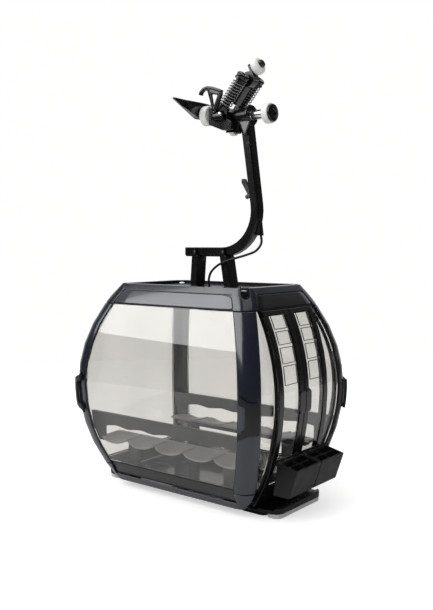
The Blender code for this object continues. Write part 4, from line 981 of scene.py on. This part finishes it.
# Rollers
# White guide rollers with crowned treads, each turning on its own pin. The outer and the top
# roller carry a black hub cap with a socket in its middle.
def roller(name, x, rise, tilt, radius, width, bore, crown):
    """Turned roller on its pin, this far above the shaft, and its placement."""
    half = width / 2
    edge = half * crown
    place = Matrix.Translation((across(x), 0.0, shaft_z + rise)) \
        @ Matrix.Rotation(math.radians(-tilt), 4, "Y")
    tread = []
    for k in range(9):
        turn = math.pi / 2 * k / 8
        tread.append((half - edge + edge * math.sin(turn), radius - edge + edge * math.cos(turn)))
    dish = radius - edge - 0.00025
    right = tread + [(half, dish), (half - 0.00012, dish - 0.0001), (half - 0.00012, bore)]
    left = [(-a, r) for a, r in reversed(right)]
    profile = left + right
    profile.append(profile[0])
    return lathed(name, profile, place, 72), place


roller_white = moulded("roller_white", (0.80, 0.797, 0.785), roughness=0.40, mottle=0.04, patch=260.0,
                       grain=0.10)
hub_profile = ((-0.0004, 0.0), (-0.0004, 0.0026), (0.00025, 0.0027), (0.00040, 0.00262),
               (0.00050, 0.00245), (0.00050, 0.00125), (0.00042, 0.00115), (0.00010, 0.00105),
               (0.00010, 0.0))
hub_scales = {"outer": 1.0, "top": 0.0012 / 0.0027}
for where, x, rise, tilt, radius, width, bore, crown in (
        ("outer", 0.02325, 0.0, 0.0, 0.0031, 0.0021, 0.00162, 0.35),
        ("inner", -0.0006, 0.0015, 0.0, 0.0032, 0.0028, 0.00112, 0.35),
        ("top", 0.0190, 0.0146, 24.0, 0.00265, 0.0027, 0.00072, 0.72),
        ("low", 0.0098, -0.0038, 0.0, 0.0019, 0.0018, 0.00072, 0.35)):
    node, body = "roller_" + where, where + "_roller"
    wheel, place = roller(node + "_turned", x, rise, tilt, radius, width, bore, crown)
    settle(wheel, roller_white, body)
    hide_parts(node)
    if where in hub_scales:
        face = Matrix.Translation((width / 2 + 0.0003, 0, 0))
        hub = [(along, out * hub_scales[where]) for along, out in hub_profile]
        cap = lathed("hub_cap_" + where, hub, place @ face, 56)
        settle(cap, grip_black, body)
        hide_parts("hub_" + where)


# Pins and bolts of the grip
# Small parts that hold the bracket: domed black pins and a bright bolt end. A thin guard of black
# plastic stands round the low roller, open below.
fasteners = [pin_head(x, -0.0062, shaft_z + rise, radius, 0.00025) for x, rise, radius in
             ((0.0046, 0.0084, 0.00038), (0.0091, 0.0068, 0.00036), (0.0067, 0.0011, 0.00045))]
settle(joined("bracket_pins", fasteners), grip_black, "grip")
guard_low_z, guard_high_z, guard_end_x = 0.1163, 0.1196, across(0.0111)
guard = [block((across(0.0085), y, guard_low_z), (guard_end_x, y + 0.0003, guard_high_z), edge=0.00008)
         for y in (-0.00235, 0.00205)]
guard.append(block((across(0.01085), -0.00235, guard_low_z), (guard_end_x, 0.00235, guard_high_z),
                   edge=0.00008))
settle(joined("roller_guard", guard), grip_black, "grip")
bolt = pin_head(0.0090, -0.0061, 0.1215, 0.00072, 0.0005)
bolt.name = "bright_bolt_end"
settle(bolt, shaft_metal, "grip")
